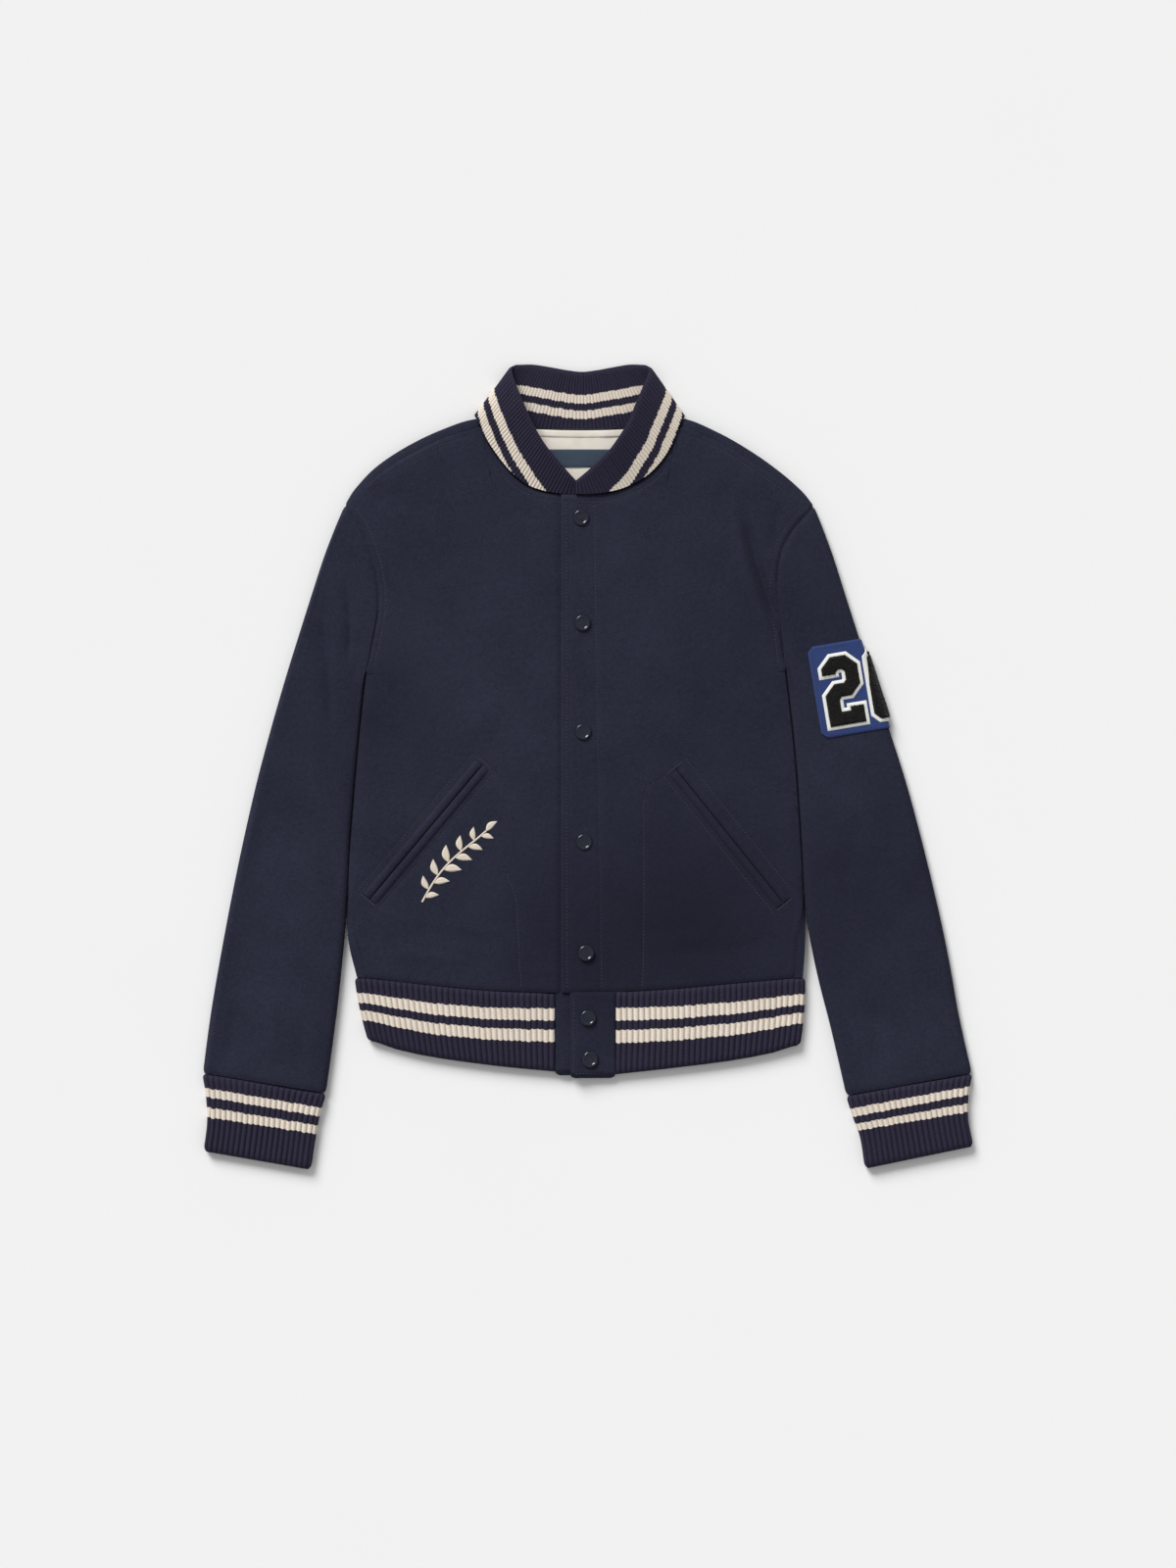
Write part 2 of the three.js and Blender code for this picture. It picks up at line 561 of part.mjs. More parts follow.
// Wool tabs that close the hem rib: the left front's lies on the right front's.
function tabGrid(x0, x1, top, bottom, face, depth) {
  return SHARES(4).map((v) =>
    SHARES(4).map((u) => {
      const x = lerp(x0, x1, u);
      return new THREE.Vector3(x, lerp(bottom, top, v), face(x) - depth);
    }),
  );
}
const overTab = (x) => LAID + lapRise(x);
const underTab = (x) => LAID + (x > PLACKET_EDGE ? lapRise(x) - CLOTH - SEAT : 0);
const TABS = table("name from to top bottom", [
  ["left_hem_tab", -16.5, 25, -206.8, -285.5],
  ["right_hem_tab", -30, 10, -207.3, -283],
]);
for (const { name, from, to, top, bottom } of TABS) {
  const face = name === "left_hem_tab" ? overTab : underTab;
  const grid = (depth) => tabGrid(from, to, top, bottom, face, depth);
  add(name, wall(grid(0), grid(CLOTH)), "wool");
}

// Collar: middle of the rib band at the neck seam and at its free edge, from the right end of the
// front opening round the back to the left end. Its back lies flat and its front bends over it.
const COLLAR = table("neckX neckY neckZ freeX freeY freeZ", [
  [-12.1, 250.6, 7.4, -11.4, 262.2, 11],
  [-26, 251.4, 7.8, -17, 268.6, 13.5],
  [-41, 254, 8, -26.5, 279.4, 15.5],
  [-54.8, 259.4, 8, -35.5, 290, 17.5],
  [-67.8, 269.3, 8, -43.5, 301.5, 18.5],
  [-80.8, 284.2, 8, -51, 315.5, 19],
  [-92.2, 301, 8.2, -59.5, 334.5, 18.5],
  [-98.8, 313.4, 9.8, -66.5, 352, 15.5],
  [-103.4, 322.6, 5, -70.3, 366, 8.5],
  [-96, 319.4, 2, -62, 368.9, 3.2],
  [-80, 315.6, 2, -50, 369.1, 2.6],
  [-55, 312.5, 2, -34, 366.6, 3],
  [-30, 310.9, 2, -19, 363.9, 3.6],
  [-6, 310.3, 2, -5.4, 362.4, 4],
  [18, 310.8, 2, 8, 363.9, 3.6],
  [42, 312.5, 2, 22.5, 366.6, 3],
  [66, 315.4, 2, 37.5, 369.1, 2.6],
  [81.5, 319.4, 2, 49, 368.9, 3.2],
  [88, 322, 5, 56.5, 365.8, 8.5],
  [83.6, 313, 9.4, 51.5, 352, 15.5],
  [78.6, 300, 8.2, 44.5, 334.5, 18.5],
  [67, 281.8, 8, 36, 314.5, 19],
  [54.6, 268.8, 8, 28, 301.5, 18.8],
  [40.6, 260, 8, 20, 290.5, 18],
  [25, 254, 8.1, 9.5, 280.2, 16.5],
  [7, 251, 9, -1, 270.3, 14.8],
  [-11.2, 250.4, 10.6, -10.6, 262, 13.2],
]);
const COLLAR_RIBS = 60;
const COLLAR_ROWS = 3;
function collarFaces() {
  const necks = curve(COLLAR.map((row) => ({ x: row.neckX, y: row.neckY, z: row.neckZ })));
  const frees = curve(COLLAR.map((row) => ({ x: row.freeX, y: row.freeY, z: row.freeZ })));
  const place = (t, v) => necks.getPoint(t).lerp(frees.getPoint(t), v);
  const faces = [];
  const step = 1e-3;
  for (const side of [1, -1]) {
    const rows = SHARES(COLLAR_ROWS - 1).map((v) =>
      SHARES(2 * COLLAR_RIBS).map((t, k) => {
        const along = place(Math.min(t + step, 1), v).sub(place(Math.max(t - step, 0), v));
        const across = place(t, 1).sub(place(t, 0));
        const normal = along.cross(across).normalize();
        const p = place(t, v).addScaledVector(normal, side * (RIB_CLOTH / 2 + (k % 2) * RIB_RISE));
        return p.setZ(Math.max(p.z, 0));
      }),
    );
    faces.push(rows);
  }
  return faces;
}
const [collarOuter, collarInner] = collarFaces();
add("collar", wall(collarOuter, collarInner), "rib");

// Flat pieces inside the back of the neck: rows between two ends, resting on the back panel.
function flatPiece(rows, from, height) {
  const grid = (z) =>
    rows.map(({ y, minX, maxX, dip = 0 }) =>
      SHARES(6).map((u) => {
        const x = lerp(minX, maxX, u);
        return new THREE.Vector3(x, y + dip * (2 * u - 1) ** 2, z);
      }),
    );
  return wall(grid(from + height), grid(from));
}
const LINING = table("y minX maxX dip", [
  [253.5, -34, 12, 0],
  [262, -56, 40, 0],
  [276, -70, 57, 0],
  [292, -80, 67, 0],
  [308.6, -56, 44, 1.6],
]);
const TAPE = table("y minX maxX dip", [
  [302.6, -56, 44, 1.6],
  [308.4, -56, 44, 1.6],
]);
const LABEL = table("y minX maxX", [
  [274.9, -49.5, 36.5],
  [291.2, -49.5, 36.5],
]);
const LINING_HEIGHT = 1;
const TRIM_HEIGHT = 0.7;
const liningTop = CLOTH + SEAT + LINING_HEIGHT;
add("neck_lining", flatPiece(LINING, CLOTH + SEAT, LINING_HEIGHT), "lining");
add("neck_tape", flatPiece(TAPE, liningTop + SEAT, TRIM_HEIGHT), "lining");
add("label", flatPiece(LABEL, liningTop + SEAT, TRIM_HEIGHT), "label");

// Height of a panel's upper face at a place
const raycaster = new THREE.Raycaster();
const DOWN = new THREE.Vector3(0, 0, -1);
jacket.updateMatrixWorld(true);
function seatHeight(panel, x, y) {
  raycaster.set(new THREE.Vector3(x, y, 100), DOWN);
  return raycaster.intersectObject(jacket.getObjectByName(panel))[0].point.z;
}

// Double welt pockets: two narrow rolls along a slanted slit
const SLITS = table("side fromX fromY toX toY outward", [
  ["right", -97.6, 0.8, -199, -120, 1],
  ["left", 81.8, -3.8, 178, -123.6, -1],
]);
const WELT_PROFILE = [0.35, 1, 0.9, 0.35];
for (const { side, fromX, fromY, toX, toY, outward } of SLITS) {
  const slit = new THREE.Vector3(toX - fromX, toY - fromY, 0);
  const along = slit.clone().normalize();
  const off = turned(along, -outward);
  for (const [name, sign] of [["outer", 1], ["inner", -1]]) {
    const grid = (raised) =>
      SHARES(6).map((v) =>
        WELT_PROFILE.map((rise, k) => {
          const a = lerp(0, slit.length(), v);
          const b = sign * lerp(SEAT / 2, WELT_WIDTH, k / (WELT_PROFILE.length - 1));
          const x = fromX + along.x * a + off.x * b;
          const y = fromY + along.y * a + off.y * b;
          const z = seatHeight(`${side}_front`, x, y) + SEAT;
          return new THREE.Vector3(x, y, z + (raised ? WELT_HEIGHT * rise : 0));
        }),
      );
    add(`${side}_pocket_${name}_welt`, wall(grid(true), grid(false)), "wool");
  }
}

// Snap caps down the front edge and on the hem tab
const SNAPS = table("x y panel", [
  [-6.3, 228.2, "left_front"],
  [-5, 131.8, "left_front"],
  [-4.5, 32, "left_front"],
  [-3.6, -68.9, "left_front"],
  [-1.8, -170.6, "left_front"],
  [0, -230, "left_hem_tab"],
  [1.8, -267.8, "left_hem_tab"],
]);
const capProfile = [
  [0, 0], [0.44, 0], [0.5, 0.4], [0.44, 1], [0.34, 0.9], [0.24, 0.6], [0, 0.55],
].map(([r, z]) => new THREE.Vector2(r * SNAP_DIAMETER, z * SNAP_HEIGHT));
SNAPS.forEach(({ x, y, panel }, k) => {
  const cap = new THREE.LatheGeometry(capProfile, 12).rotateX(Math.PI / 2);
  const reach = SNAP_DIAMETER / 2;
  const [west, east] = [-reach, reach].map((dx) => seatHeight(panel, x + dx, y));
  const mesh = add(`snap_${k + 1}`, cap, "snap");
  const normal = new THREE.Vector3(west - east, 0, SNAP_DIAMETER).normalize();
  mesh.quaternion.setFromUnitVectors(new THREE.Vector3(0, 0, 1), normal);
  const height = Math.max((west + east) / 2, seatHeight(panel, x, y)) + SEAT;
  mesh.position.set(x, y, height);
});

// Number patch on the left sleeve: a place on it is carried to the sleeve and round its folded edge.
const PATCH_CORNER = { x: 214.6, y: 25.4 };
const tilt = THREE.MathUtils.degToRad(DIGIT_TILT);
const sleeveEdge = curve(LEFT_SLEEVE.map((row) => ({ x: row.outerX, y: row.outerY })));
const edgePoints = sleeveEdge.getPoints(240);
function patchFoot(a, b) {
  const x = PATCH_CORNER.x + a * Math.cos(tilt) - b * Math.sin(tilt);
  const y = PATCH_CORNER.y + a * Math.sin(tilt) + b * Math.cos(tilt);
  const distance = (p) => Math.hypot(p.x - x, p.y - y);
  const near = edgePoints.reduce((best, p, i) => (distance(p) < distance(edgePoints[best]) ? i : best), 0);
  const into = turned(sleeveEdge.getTangent(near / 240), -1);
  const inset = (x - edgePoints[near].x) * into.x + (y - edgePoints[near].y) * into.y;
  return { into, inset, foot: new THREE.Vector3(x, y, 0).addScaledVector(into, -inset) };
}
function patchPoint(a, b, height) {
  const { into, inset, foot } = patchFoot(a, b);
  return rim(foot, into, QUARTER_FOLD + inset - EDGE, -height);
}
// Length along a row of the patch at which the sleeve's folded edge starts
function foldStart(b) {
  let a = 40;
  for (let k = 0; k < 6; k++) a += patchFoot(a, b).inset - EDGE;
  return a;
}

const wasm = await Module();
wasm.setup();
const toSolid = (geometry) => {
  const bare = geometry.index ? geometry.toNonIndexed() : geometry.clone();
  bare.deleteAttribute("normal");
  bare.deleteAttribute("uv");
  const merged = mergeVertices(bare, 1e-4);
  const vertProperties = new Float32Array(merged.attributes.position.array);
  const triVerts = new Uint32Array(merged.index.array);
  return new wasm.Manifold(new wasm.Mesh({ numProp: 3, vertProperties, triVerts }));
};
const toGeometry = (solid) => {
  const mesh = solid.getMesh();
  const geometry = new THREE.BufferGeometry();
  geometry.setAttribute("position", new THREE.Float32BufferAttribute(mesh.vertProperties, 3));
  geometry.setIndex([...mesh.triVerts]);
  geometry.computeVertexNormals();
  return geometry;
};
// The patch goes on round the sleeve's fold; it is trimmed just above the surface it lies on.
const floorBlock = toSolid(new THREE.BoxGeometry(200, 200, 20).translate(250, 60, -9.8));
const trimmed = (geometry) => toGeometry(toSolid(geometry).subtract(floorBlock));

// Piece of the patch that starts on the sleeve's top and goes round its fold: rows up the patch,
// columns from its left edge, with both left corners cut off.
function foldedPiece({ left, low, high, chamfer, round, columns }, height) {
  return SHARES(8).map((v) => {
    const b = lerp(low, high, v);
    const start = left + Math.max(0, b - high + chamfer, low + chamfer - b);
    const fold = foldStart(b);
    return columns(start, fold, fold + round * QUARTER_FOLD).map((a) => patchPoint(a, b, height));
  });
}
const BACKING = {
  left: 0,
  low: 0,
  high: 85,
  chamfer: 5,
  round: 2,
  columns: (start, fold, end) => [
    ...SHARES(3).map((u) => lerp(start, fold, u)),
    ...SHARES(8).slice(1).map((u) => lerp(fold, end, u)),
  ],
};
const backing = (height) => foldedPiece(BACKING, height);
add("patch_felt", trimmed(wall(backing(PATCH_SEAT + PATCH_FELT), backing(PATCH_SEAT))), "felt");

// Stroke of even width along a path of straight runs with mitred corners
function strokeGrid(path, half, extend, height) {
  const points = path.map(([a, b]) => new THREE.Vector2(a, b));
  const heading = (i) => points[i + 1].clone().sub(points[i]).normalize();
  const count = points.length;
  points[0].addScaledVector(heading(0), -extend);
  points[count - 1].addScaledVector(heading(count - 2), extend);
  const sides = points.map((_, i) => {
    const before = heading(Math.max(i - 1, 0));
    const after = heading(Math.min(i, count - 2));
    const mean = before.clone().add(after).normalize();
    const stretch = 1 / Math.max(before.dot(mean), 0.5);
    return new THREE.Vector2(-mean.y, mean.x).multiplyScalar(half * stretch);
  });
  const rows = [];
  for (let i = 0; i + 1 < count; i++) {
    const steps = Math.max(1, Math.round(points[i].distanceTo(points[i + 1]) / STROKE));
    for (let k = i === 0 ? 0 : 1; k <= steps; k++) {
      const middle = points[i].clone().lerp(points[i + 1], k / steps);
      const side = sides[i].clone().lerp(sides[i + 1], k / steps);
      rows.push(SHARES(3).map((f) => {
        const p = middle.clone().addScaledVector(side, 2 * f - 1);
        return patchPoint(p.x, p.y, height);
      }));
    }
  }
  return rows;
}
const DIGIT_CORNER = { a: 15.5, b: 15.5 };
const DIGIT_STEP = 41.5;
const DIGIT_HEIGHT = 51; // between the middles of its top and bottom strokes
const TWO = [
  [0, 41], [0, 45], [6, 51], [15, 51], [21, 45], [21, 32],
  [15, 26], [6, 26], [0, 20], [0, 0], [21, 0], [21, 10],
];
const half = STROKE / 2;
const edgingLow = PATCH_SEAT + PATCH_FELT + SEAT;
const pileLow = edgingLow + EDGE_FELT + SEAT;
const two = TWO.map(([a, b]) => [DIGIT_CORNER.a + a, DIGIT_CORNER.b + b]);
const twoBand = (wide, end, height) => strokeGrid(two, half + wide, end, height);
add("two_edging", wall(
  twoBand(STROKE_EDGE, STROKE_EDGE, edgingLow + EDGE_FELT),
  twoBand(STROKE_EDGE, STROKE_EDGE, edgingLow),
), "edging");
add("two_chenille", wall(twoBand(0, 0, pileLow + CHENILLE), twoBand(0, 0, pileLow)), "chenille");

// Only the first stroke of the second numeral shows before the fold, so the rest ends below it.
const six = (wide) => ({
  left: DIGIT_CORNER.a + DIGIT_STEP - half - wide,
  low: DIGIT_CORNER.b - half - wide,
  high: DIGIT_CORNER.b + DIGIT_HEIGHT + half + wide,
  chamfer: 0,
  round: 1.3,
  columns: (start, fold, end) => SHARES(8).map((u) => lerp(Math.min(start, end - 3), end, u)),
});
const sixPiece = (wide, low, high) =>
  trimmed(wall(foldedPiece(six(wide), high), foldedPiece(six(wide), low)));
add("six_edging", sixPiece(STROKE_EDGE, edgingLow, edgingLow + EDGE_FELT), "edging");
add("six_chenille", sixPiece(0, pileLow, pileLow + CHENILLE), "chenille");

export default jacket;
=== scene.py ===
"""Varsity jacket, closed and laid out flat with its back down, seen from straight above.

Every cloth piece is a thin shell on its solid's own outline. Outlines and sections are in millimetres
in the frame's axes, and become metres when a mesh is made. Left and right are the wearer's.
"""

import bpy
import numpy as np
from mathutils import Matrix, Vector


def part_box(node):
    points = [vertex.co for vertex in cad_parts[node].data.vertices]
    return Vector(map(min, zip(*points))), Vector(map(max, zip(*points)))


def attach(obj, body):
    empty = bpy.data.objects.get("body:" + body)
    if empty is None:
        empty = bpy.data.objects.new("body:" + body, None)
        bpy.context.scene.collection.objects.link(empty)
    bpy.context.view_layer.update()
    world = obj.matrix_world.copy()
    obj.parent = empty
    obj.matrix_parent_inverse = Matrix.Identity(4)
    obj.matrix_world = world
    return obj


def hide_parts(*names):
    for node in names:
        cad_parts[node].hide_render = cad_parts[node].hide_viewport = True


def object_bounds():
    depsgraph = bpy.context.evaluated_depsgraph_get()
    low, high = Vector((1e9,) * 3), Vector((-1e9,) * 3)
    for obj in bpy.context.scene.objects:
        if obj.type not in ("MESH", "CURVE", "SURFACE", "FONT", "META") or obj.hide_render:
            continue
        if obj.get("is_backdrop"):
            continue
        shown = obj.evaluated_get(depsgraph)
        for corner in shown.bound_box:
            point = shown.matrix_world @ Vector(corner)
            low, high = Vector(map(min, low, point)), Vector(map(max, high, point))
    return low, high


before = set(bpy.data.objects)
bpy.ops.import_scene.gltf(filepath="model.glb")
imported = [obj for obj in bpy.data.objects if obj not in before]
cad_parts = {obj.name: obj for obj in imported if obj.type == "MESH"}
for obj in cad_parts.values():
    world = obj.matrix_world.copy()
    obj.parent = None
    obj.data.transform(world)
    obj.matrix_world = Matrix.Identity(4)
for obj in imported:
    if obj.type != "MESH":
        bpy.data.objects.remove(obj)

CAD_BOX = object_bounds()
MM = 0.001

# Sizes that the solids share
CLOTH = 2.8
RIB_CLOTH = 3.2
LAID = 9.4
EDGE = LAID / 2
QUARTER_FOLD = EDGE * np.pi / 2
GAP = -0.12
SEAT = 0.3
LAP_RISE = 3.1
LAP_WIDTH = 50
PLACKET_EDGE = -24.5
UNDERLAP_EDGE = 11
RIM_INSET = EDGE + 5
ARM_INSET = 4
TIP_SEAM_INSET = 4.6
NECK_SEAM_INSET = 8
SNAP_DIAMETER = 15
SNAP_HEIGHT = 2.2
WELT_WIDTH = 8
WELT_HEIGHT = 1.6
PATCH_SEAT = 0.45
PATCH_FELT = 1.2
EDGE_FELT = 0.9
CHENILLE = 1.8
STROKE = 12.5
STROKE_EDGE = 3
DIGIT_TILT = np.radians(9.5)

# How fine the shells are
PANEL_PITCH = 2.5
FRONT_PITCH = 2.0
RIB_COLUMNS = 7
RIB_ROWS = 30
RIB_RELIEF = 1.5
STITCH = {"pitch": 3.3, "length": 2.5, "radius": 0.36}


def smooth(value, low=0.0, high=1.0):
    """0 below low, 1 above high and an S between."""
    share = np.clip((np.asarray(value, float) - low) / (high - low), 0, 1)
    return share * share * (3 - 2 * share)


def lerp(a, b, share):
    return a + (b - a) * share


def unit(vectors):
    return vectors / np.maximum(np.linalg.norm(vectors, axis=-1, keepdims=True), 1e-9)


def turned(vectors, sign):
    """Level unit vectors at right angles to these, to their left for a sign of 1."""
    level = np.stack([-vectors[..., 1] * sign, vectors[..., 0] * sign, 0 * vectors[..., 0]], -1)
    return unit(level)


def shares(steps):
    return np.linspace(0, 1, steps + 1)


class Curve:
    """Centripetal Catmull-Rom curve through its rows, by its parameter or by its share of length."""

    def __init__(self, rows):
        rows = np.asarray(rows, float)
        self.rows = np.pad(rows, ((0, 0), (0, 3 - rows.shape[1])))
        self.steps = np.linspace(0, 1, 201)
        runs = np.linalg.norm(np.diff(self.point(self.steps), axis=0), axis=1)
        self.lengths = np.concatenate([[0], np.cumsum(runs)])
        self.length = self.lengths[-1]

    def point(self, t):
        p = self.rows
        place = np.clip(np.asarray(t, float), 0, 1) * (len(p) - 1)
        k = np.minimum(place.astype(int), len(p) - 2)
        w = (place - k)[..., None]
        longer = np.vstack([2 * p[0] - p[1], p, 2 * p[-1] - p[-2]])
        a, b, c, d = (longer[k + i] for i in range(4))
        pairs = ((a, b), (b, c), (c, d))
        ab, bc, cd = (np.sqrt(np.linalg.norm(v - u, axis=-1, keepdims=True)) for u, v in pairs)
        start = ((b - a) / ab - (c - a) / (ab + bc) + (c - b) / bc) * bc
        end = ((c - b) / bc - (d - b) / (bc + cd) + (d - c) / cd) * bc
        return b + start * w + (3 * (c - b) - 2 * start - end) * w**2 + (2 * (b - c) + start + end) * w**3

    def parameter(self, u):
        return np.interp(np.asarray(u, float) * self.length, self.lengths, self.steps)

    def at(self, u):
        return self.point(self.parameter(u))

    def heading(self, t):
        t = np.asarray(t, float)
        return unit(self.point(np.minimum(t + 1e-4, 1)) - self.point(np.maximum(t - 1e-4, 0)))

    def tangent(self, u):
        return self.heading(self.parameter(u))


class Half:
    """Outlines of one half of the body, from the hem or the armpit upwards. Sign is 1 on the left."""

    def __init__(self, sign, side, armhole, shoulder, neck):
        self.sign = sign
        self.side, self.armhole, self.shoulder, self.neck = map(Curve, (side, armhole, shoulder, neck))


RIGHT = Half(
    -1,
    side=[
        (-213.6, -192.6), (-218.7, -173), (-221.4, -155), (-220.3, -100), (-216.3, -42), (-210.6, 28),
        (-204.6, 85),
    ],
    armhole=[
        (-204.6, 85), (-197.3, 117), (-192.7, 141), (-192.6, 163), (-196.6, 186), (-207.9, 217),
        (-223.2, 240),
    ],
    shoulder=[(-223.2, 240), (-212, 257), (-190.4, 278.6), (-146.7, 304.7), (-103.4, 319.6)],
    neck=[(-100.9, 312), (-94.5, 300.2), (-69.3, 266.9), (-39.2, 251.4), (-11.7, 249.4)],
)
LEFT = Half(
    1,
    side=[
        (198.8, -192.6), (200.5, -176), (200.3, -156), (198, -105.8), (192.6, -15.8), (188.6, 30),
        (182.2, 87),
    ],
    armhole=[(182.2, 87), (178.4, 118), (173.8, 146), (173.7, 170), (178.4, 200), (191, 221), (207.4, 239)],
    shoulder=[(207.4, 239), (197, 252), (181.8, 266), (160.2, 283.1), (121.1, 306.5), (88.5, 319.8)],
    neck=[(85.4, 312.2), (80.8, 300.5), (57.6, 268.4), (22, 250.9), (-11.7, 249.4)],
)
BACK_NECK = Curve([
    (-103.4, 319.6), (-80, 314.5), (-45, 310.8), (-6, 309.4), (33, 310.8), (67, 314.5), (88.5, 319.8),
])

# Columns: seam x, seam y, edge x, edge y
HEM = np.array([
    (-213.6, -193, -201, -252), (-181, -195.8, -173, -260), (-149.4, -199.4, -145, -266),
    (-90, -204.8, -88, -274), (-30.4, -207, -30.4, -279.5), (25.4, -206.3, 25.4, -282),
    (80, -203, 79, -276.3), (135, -198, 133, -269.4), (170, -195, 167, -263), (198.8, -193, 194, -256),
])

# Columns: outer x, outer y, inner x, inner y, from the shoulder and the armpit to the cuff seam
RIGHT_SLEEVE = np.array([
    (-223.2, 240, -204.6, 85), (-239.4, 200.3, -207.4, 57), (-258, 143.5, -210.3, 26),
    (-280.5, 71, -214.5, -20), (-303.3, -12, -218.5, -72), (-321.5, -93, -221.2, -130),
    (-336, -168, -226.6, -192), (-346.4, -229, -232.6, -243), (-353.2, -280.6, -240.4, -299),
])
LEFT_SLEEVE = np.array([
    (207.4, 239, 182.2, 87), (222.3, 200.3, 185.1, 60), (240.5, 143.5, 188.7, 28), (264, 71, 192.8, -20),
    (291, -12, 195.7, -72), (312.4, -93, 199.2, -130), (329.3, -168, 209, -185),
    (340.3, -229, 223, -241), (352, -280.6, 236.8, -301),
])
RIGHT_CUFF = np.array([
    (-353.4, -281.2, -240.6, -299.7), (-350.2, -301, -246.4, -319),
    (-349.2, -325, -250.2, -340), (-352.5, -352.5, -254.5, -369.5),
])
LEFT_CUFF = np.array([
    (352.1, -281.2, 237, -301.7), (348.6, -301, 243.4, -321),
    (348.4, -322, 249.5, -338), (353.4, -348, 254.4, -368.5),
])

# Listed creases. Columns: from x, from y, to x, to y, bend, width, height; a trough is negative.
FOLDS = np.array([
    (140, 252, 186, 106, -6, 5.5, -3.2),
    (176, 142, 190, 20, 2, 3.6, -1.2),
    (160, 244, 186, 132, -4, 8, 1.3),
    (176, 247, 161, 188, 3, 6, -1.1),
    (118, 264, 150, 226, 0, 13, -1),
    (-196, 262, -186, 240, 0, 6, -1),
    (-176, 256, -170, 232, 0, 6, -0.9),
    (-185, -152, -62, -170, 6, 7, -0.8),
    (-190, -172, -100, -184, 4, 6, 0.7),
    (60, -168, 178, -158, -5, 8, -0.7),
    (-226, 176, -222, 84, 4, 6, -1.5),
    (-249, 152, -236, 12, 3, 8, -1.3),
    (-210, 128, -214, 76, 0, 5, -1.2),
    (-292, -30, -262, -96, 4, 10, -1.1),
    (-290, -205, -287, -275, 0, 6, 1),
    (-322, -214, -331, -276, 0, 6, -1.2),
    (-262, -222, -262, -284, 0, 7, -1),
    (248, -40, 232, -110, 4, 10, -1.1),
    (262, -210, 268, -282, 0, 7, -1.1),
    (296, -214, 305, -276, 0, 6, 0.9),
    (326, -214, 331, -270, 0, 6, -1.1),
])
# Shallow creases that only the cloth's surface shows, in the same columns
CREASES = np.array([
    (146, 228, 181, 118, -4, 2.2, -1.6),
    (131, 246, 176, 96, -5, 6, 2.2),
    (-223, 170, -221, 90, 4, 3, -1.6),
    (-246, 150, -236, 20, 3, 3.4, -1.0),
    (-72, 236, -44, 222, 2, 4, -0.5),
    (-30, 206, -19, 160, 1, 4, -0.35),
    (-130, -140, -60, -150, 3, 5, -0.35),
    (-205, -128, -150, -140, 2, 4, -0.3),
    (-60, -186, -20, -190, 1, 4, 0.3),
    (30, -150, 120, -143, -3, 6, -0.35),
    (150, -178, 190, -172, 1, 4, -0.3),
    (60, 226, 96, 232, 2, 6, -0.4),
    (-150, 282, -120, 240, 2, 9, -0.4),
    (-268, 60, -255, -20, 2, 7, -0.5),
    (-310, -110, -285, -150, 3, 7, -0.4),
    (225, 60, 214, 0, 2, 6, -0.45),
    (300, -110, 272, -160, 3, 8, -0.45),
    (-250, -150, -300, -168, 3, 7, -0.35),
])


def bells(x, y, rows):
    """Sum over the rows of height times a bell across a bent line, faded out at both of its ends."""
    height = np.zeros(np.shape(x))
    for from_x, from_y, to_x, to_y, bend, width, rise in rows:
        dx, dy = to_x - from_x, to_y - from_y
        length = np.hypot(dx, dy)
        s = ((x - from_x) * dx + (y - from_y) * dy) / length**2
        across = ((y - from_y) * dx - (x - from_x) * dy) / length
        off = across - 4 * bend * s * (1 - s)
        fade = smooth(s, 0, 0.3) * (1 - smooth(s, 0.7, 1))
        height += rise * fade * np.exp(-((off / width) ** 2))
    return height


def ripple(x, y, length, seed):
    """Sum of seven sine waves in seeded directions, of about this wavelength, from -1 to 1."""
    random = np.random.default_rng(seed)
    total = np.zeros(np.broadcast_shapes(np.shape(x), np.shape(y)))
    for _ in range(7):
        angle, phase = random.uniform(0, 2 * np.pi, 2)
        wave = 2 * np.pi / (length * random.uniform(0.7, 1.5))
        total += np.sin(wave * (x * np.cos(angle) + y * np.sin(angle)) + phase)
    return total / 5


def relief(x, y):
    """Height that creases and the lie of thick cloth add to a panel's top."""
    lie = 1.5 * ripple(x, y, 150, 3) + 0.36 * ripple(x, y, 60, 4) + 0.08 * ripple(x, y, 24, 5)
    return bells(x, y, FOLDS) + bells(x, y, CREASES) + lie


def lap_rise(x):
    return LAP_RISE * (1 - smooth(x, PLACKET_EDGE, PLACKET_EDGE + LAP_WIDTH))


def over_level(x, y):
    return LAID + lap_rise(x)


def under_level(x, y):
    return LAID + np.where(x > PLACKET_EDGE, lap_rise(x) - CLOTH - SEAT, 0)


# Cloth points have four columns: x, y, z and how much of the relief they take.


def rim(edge, into, path, depth):
    """Point of a folded edge: a half circle of the radius EDGE round it, then level. Path is the length
    from its outermost line, up for a positive one, and depth goes into the cloth."""
    side = np.where(path < 0, -1.0, 1.0)
    turn = np.minimum(np.abs(path) / EDGE, np.pi / 2)
    past = np.maximum(np.abs(path) - QUARTER_FOLD, 0)
    reach = EDGE - (EDGE - depth) * np.cos(turn) + past
    z = EDGE + side * (EDGE - depth) * np.sin(turn)
    x = edge[..., 0] + into[..., 0] * reach
    y = edge[..., 1] + into[..., 1] * reach
    weight = np.where(side > 0, smooth(past, 0, 10), 0)
    return np.stack(np.broadcast_arrays(x, y, z, weight), -1)


RIM_PATH = QUARTER_FOLD + RIM_INSET - EDGE


def path_at(inset):
    inset = np.asarray(inset, float)
    curved = EDGE * np.arccos(1 - np.minimum(inset, EDGE) / EDGE)
    return np.where(inset < EDGE, curved, QUARTER_FOLD + inset - EDGE)


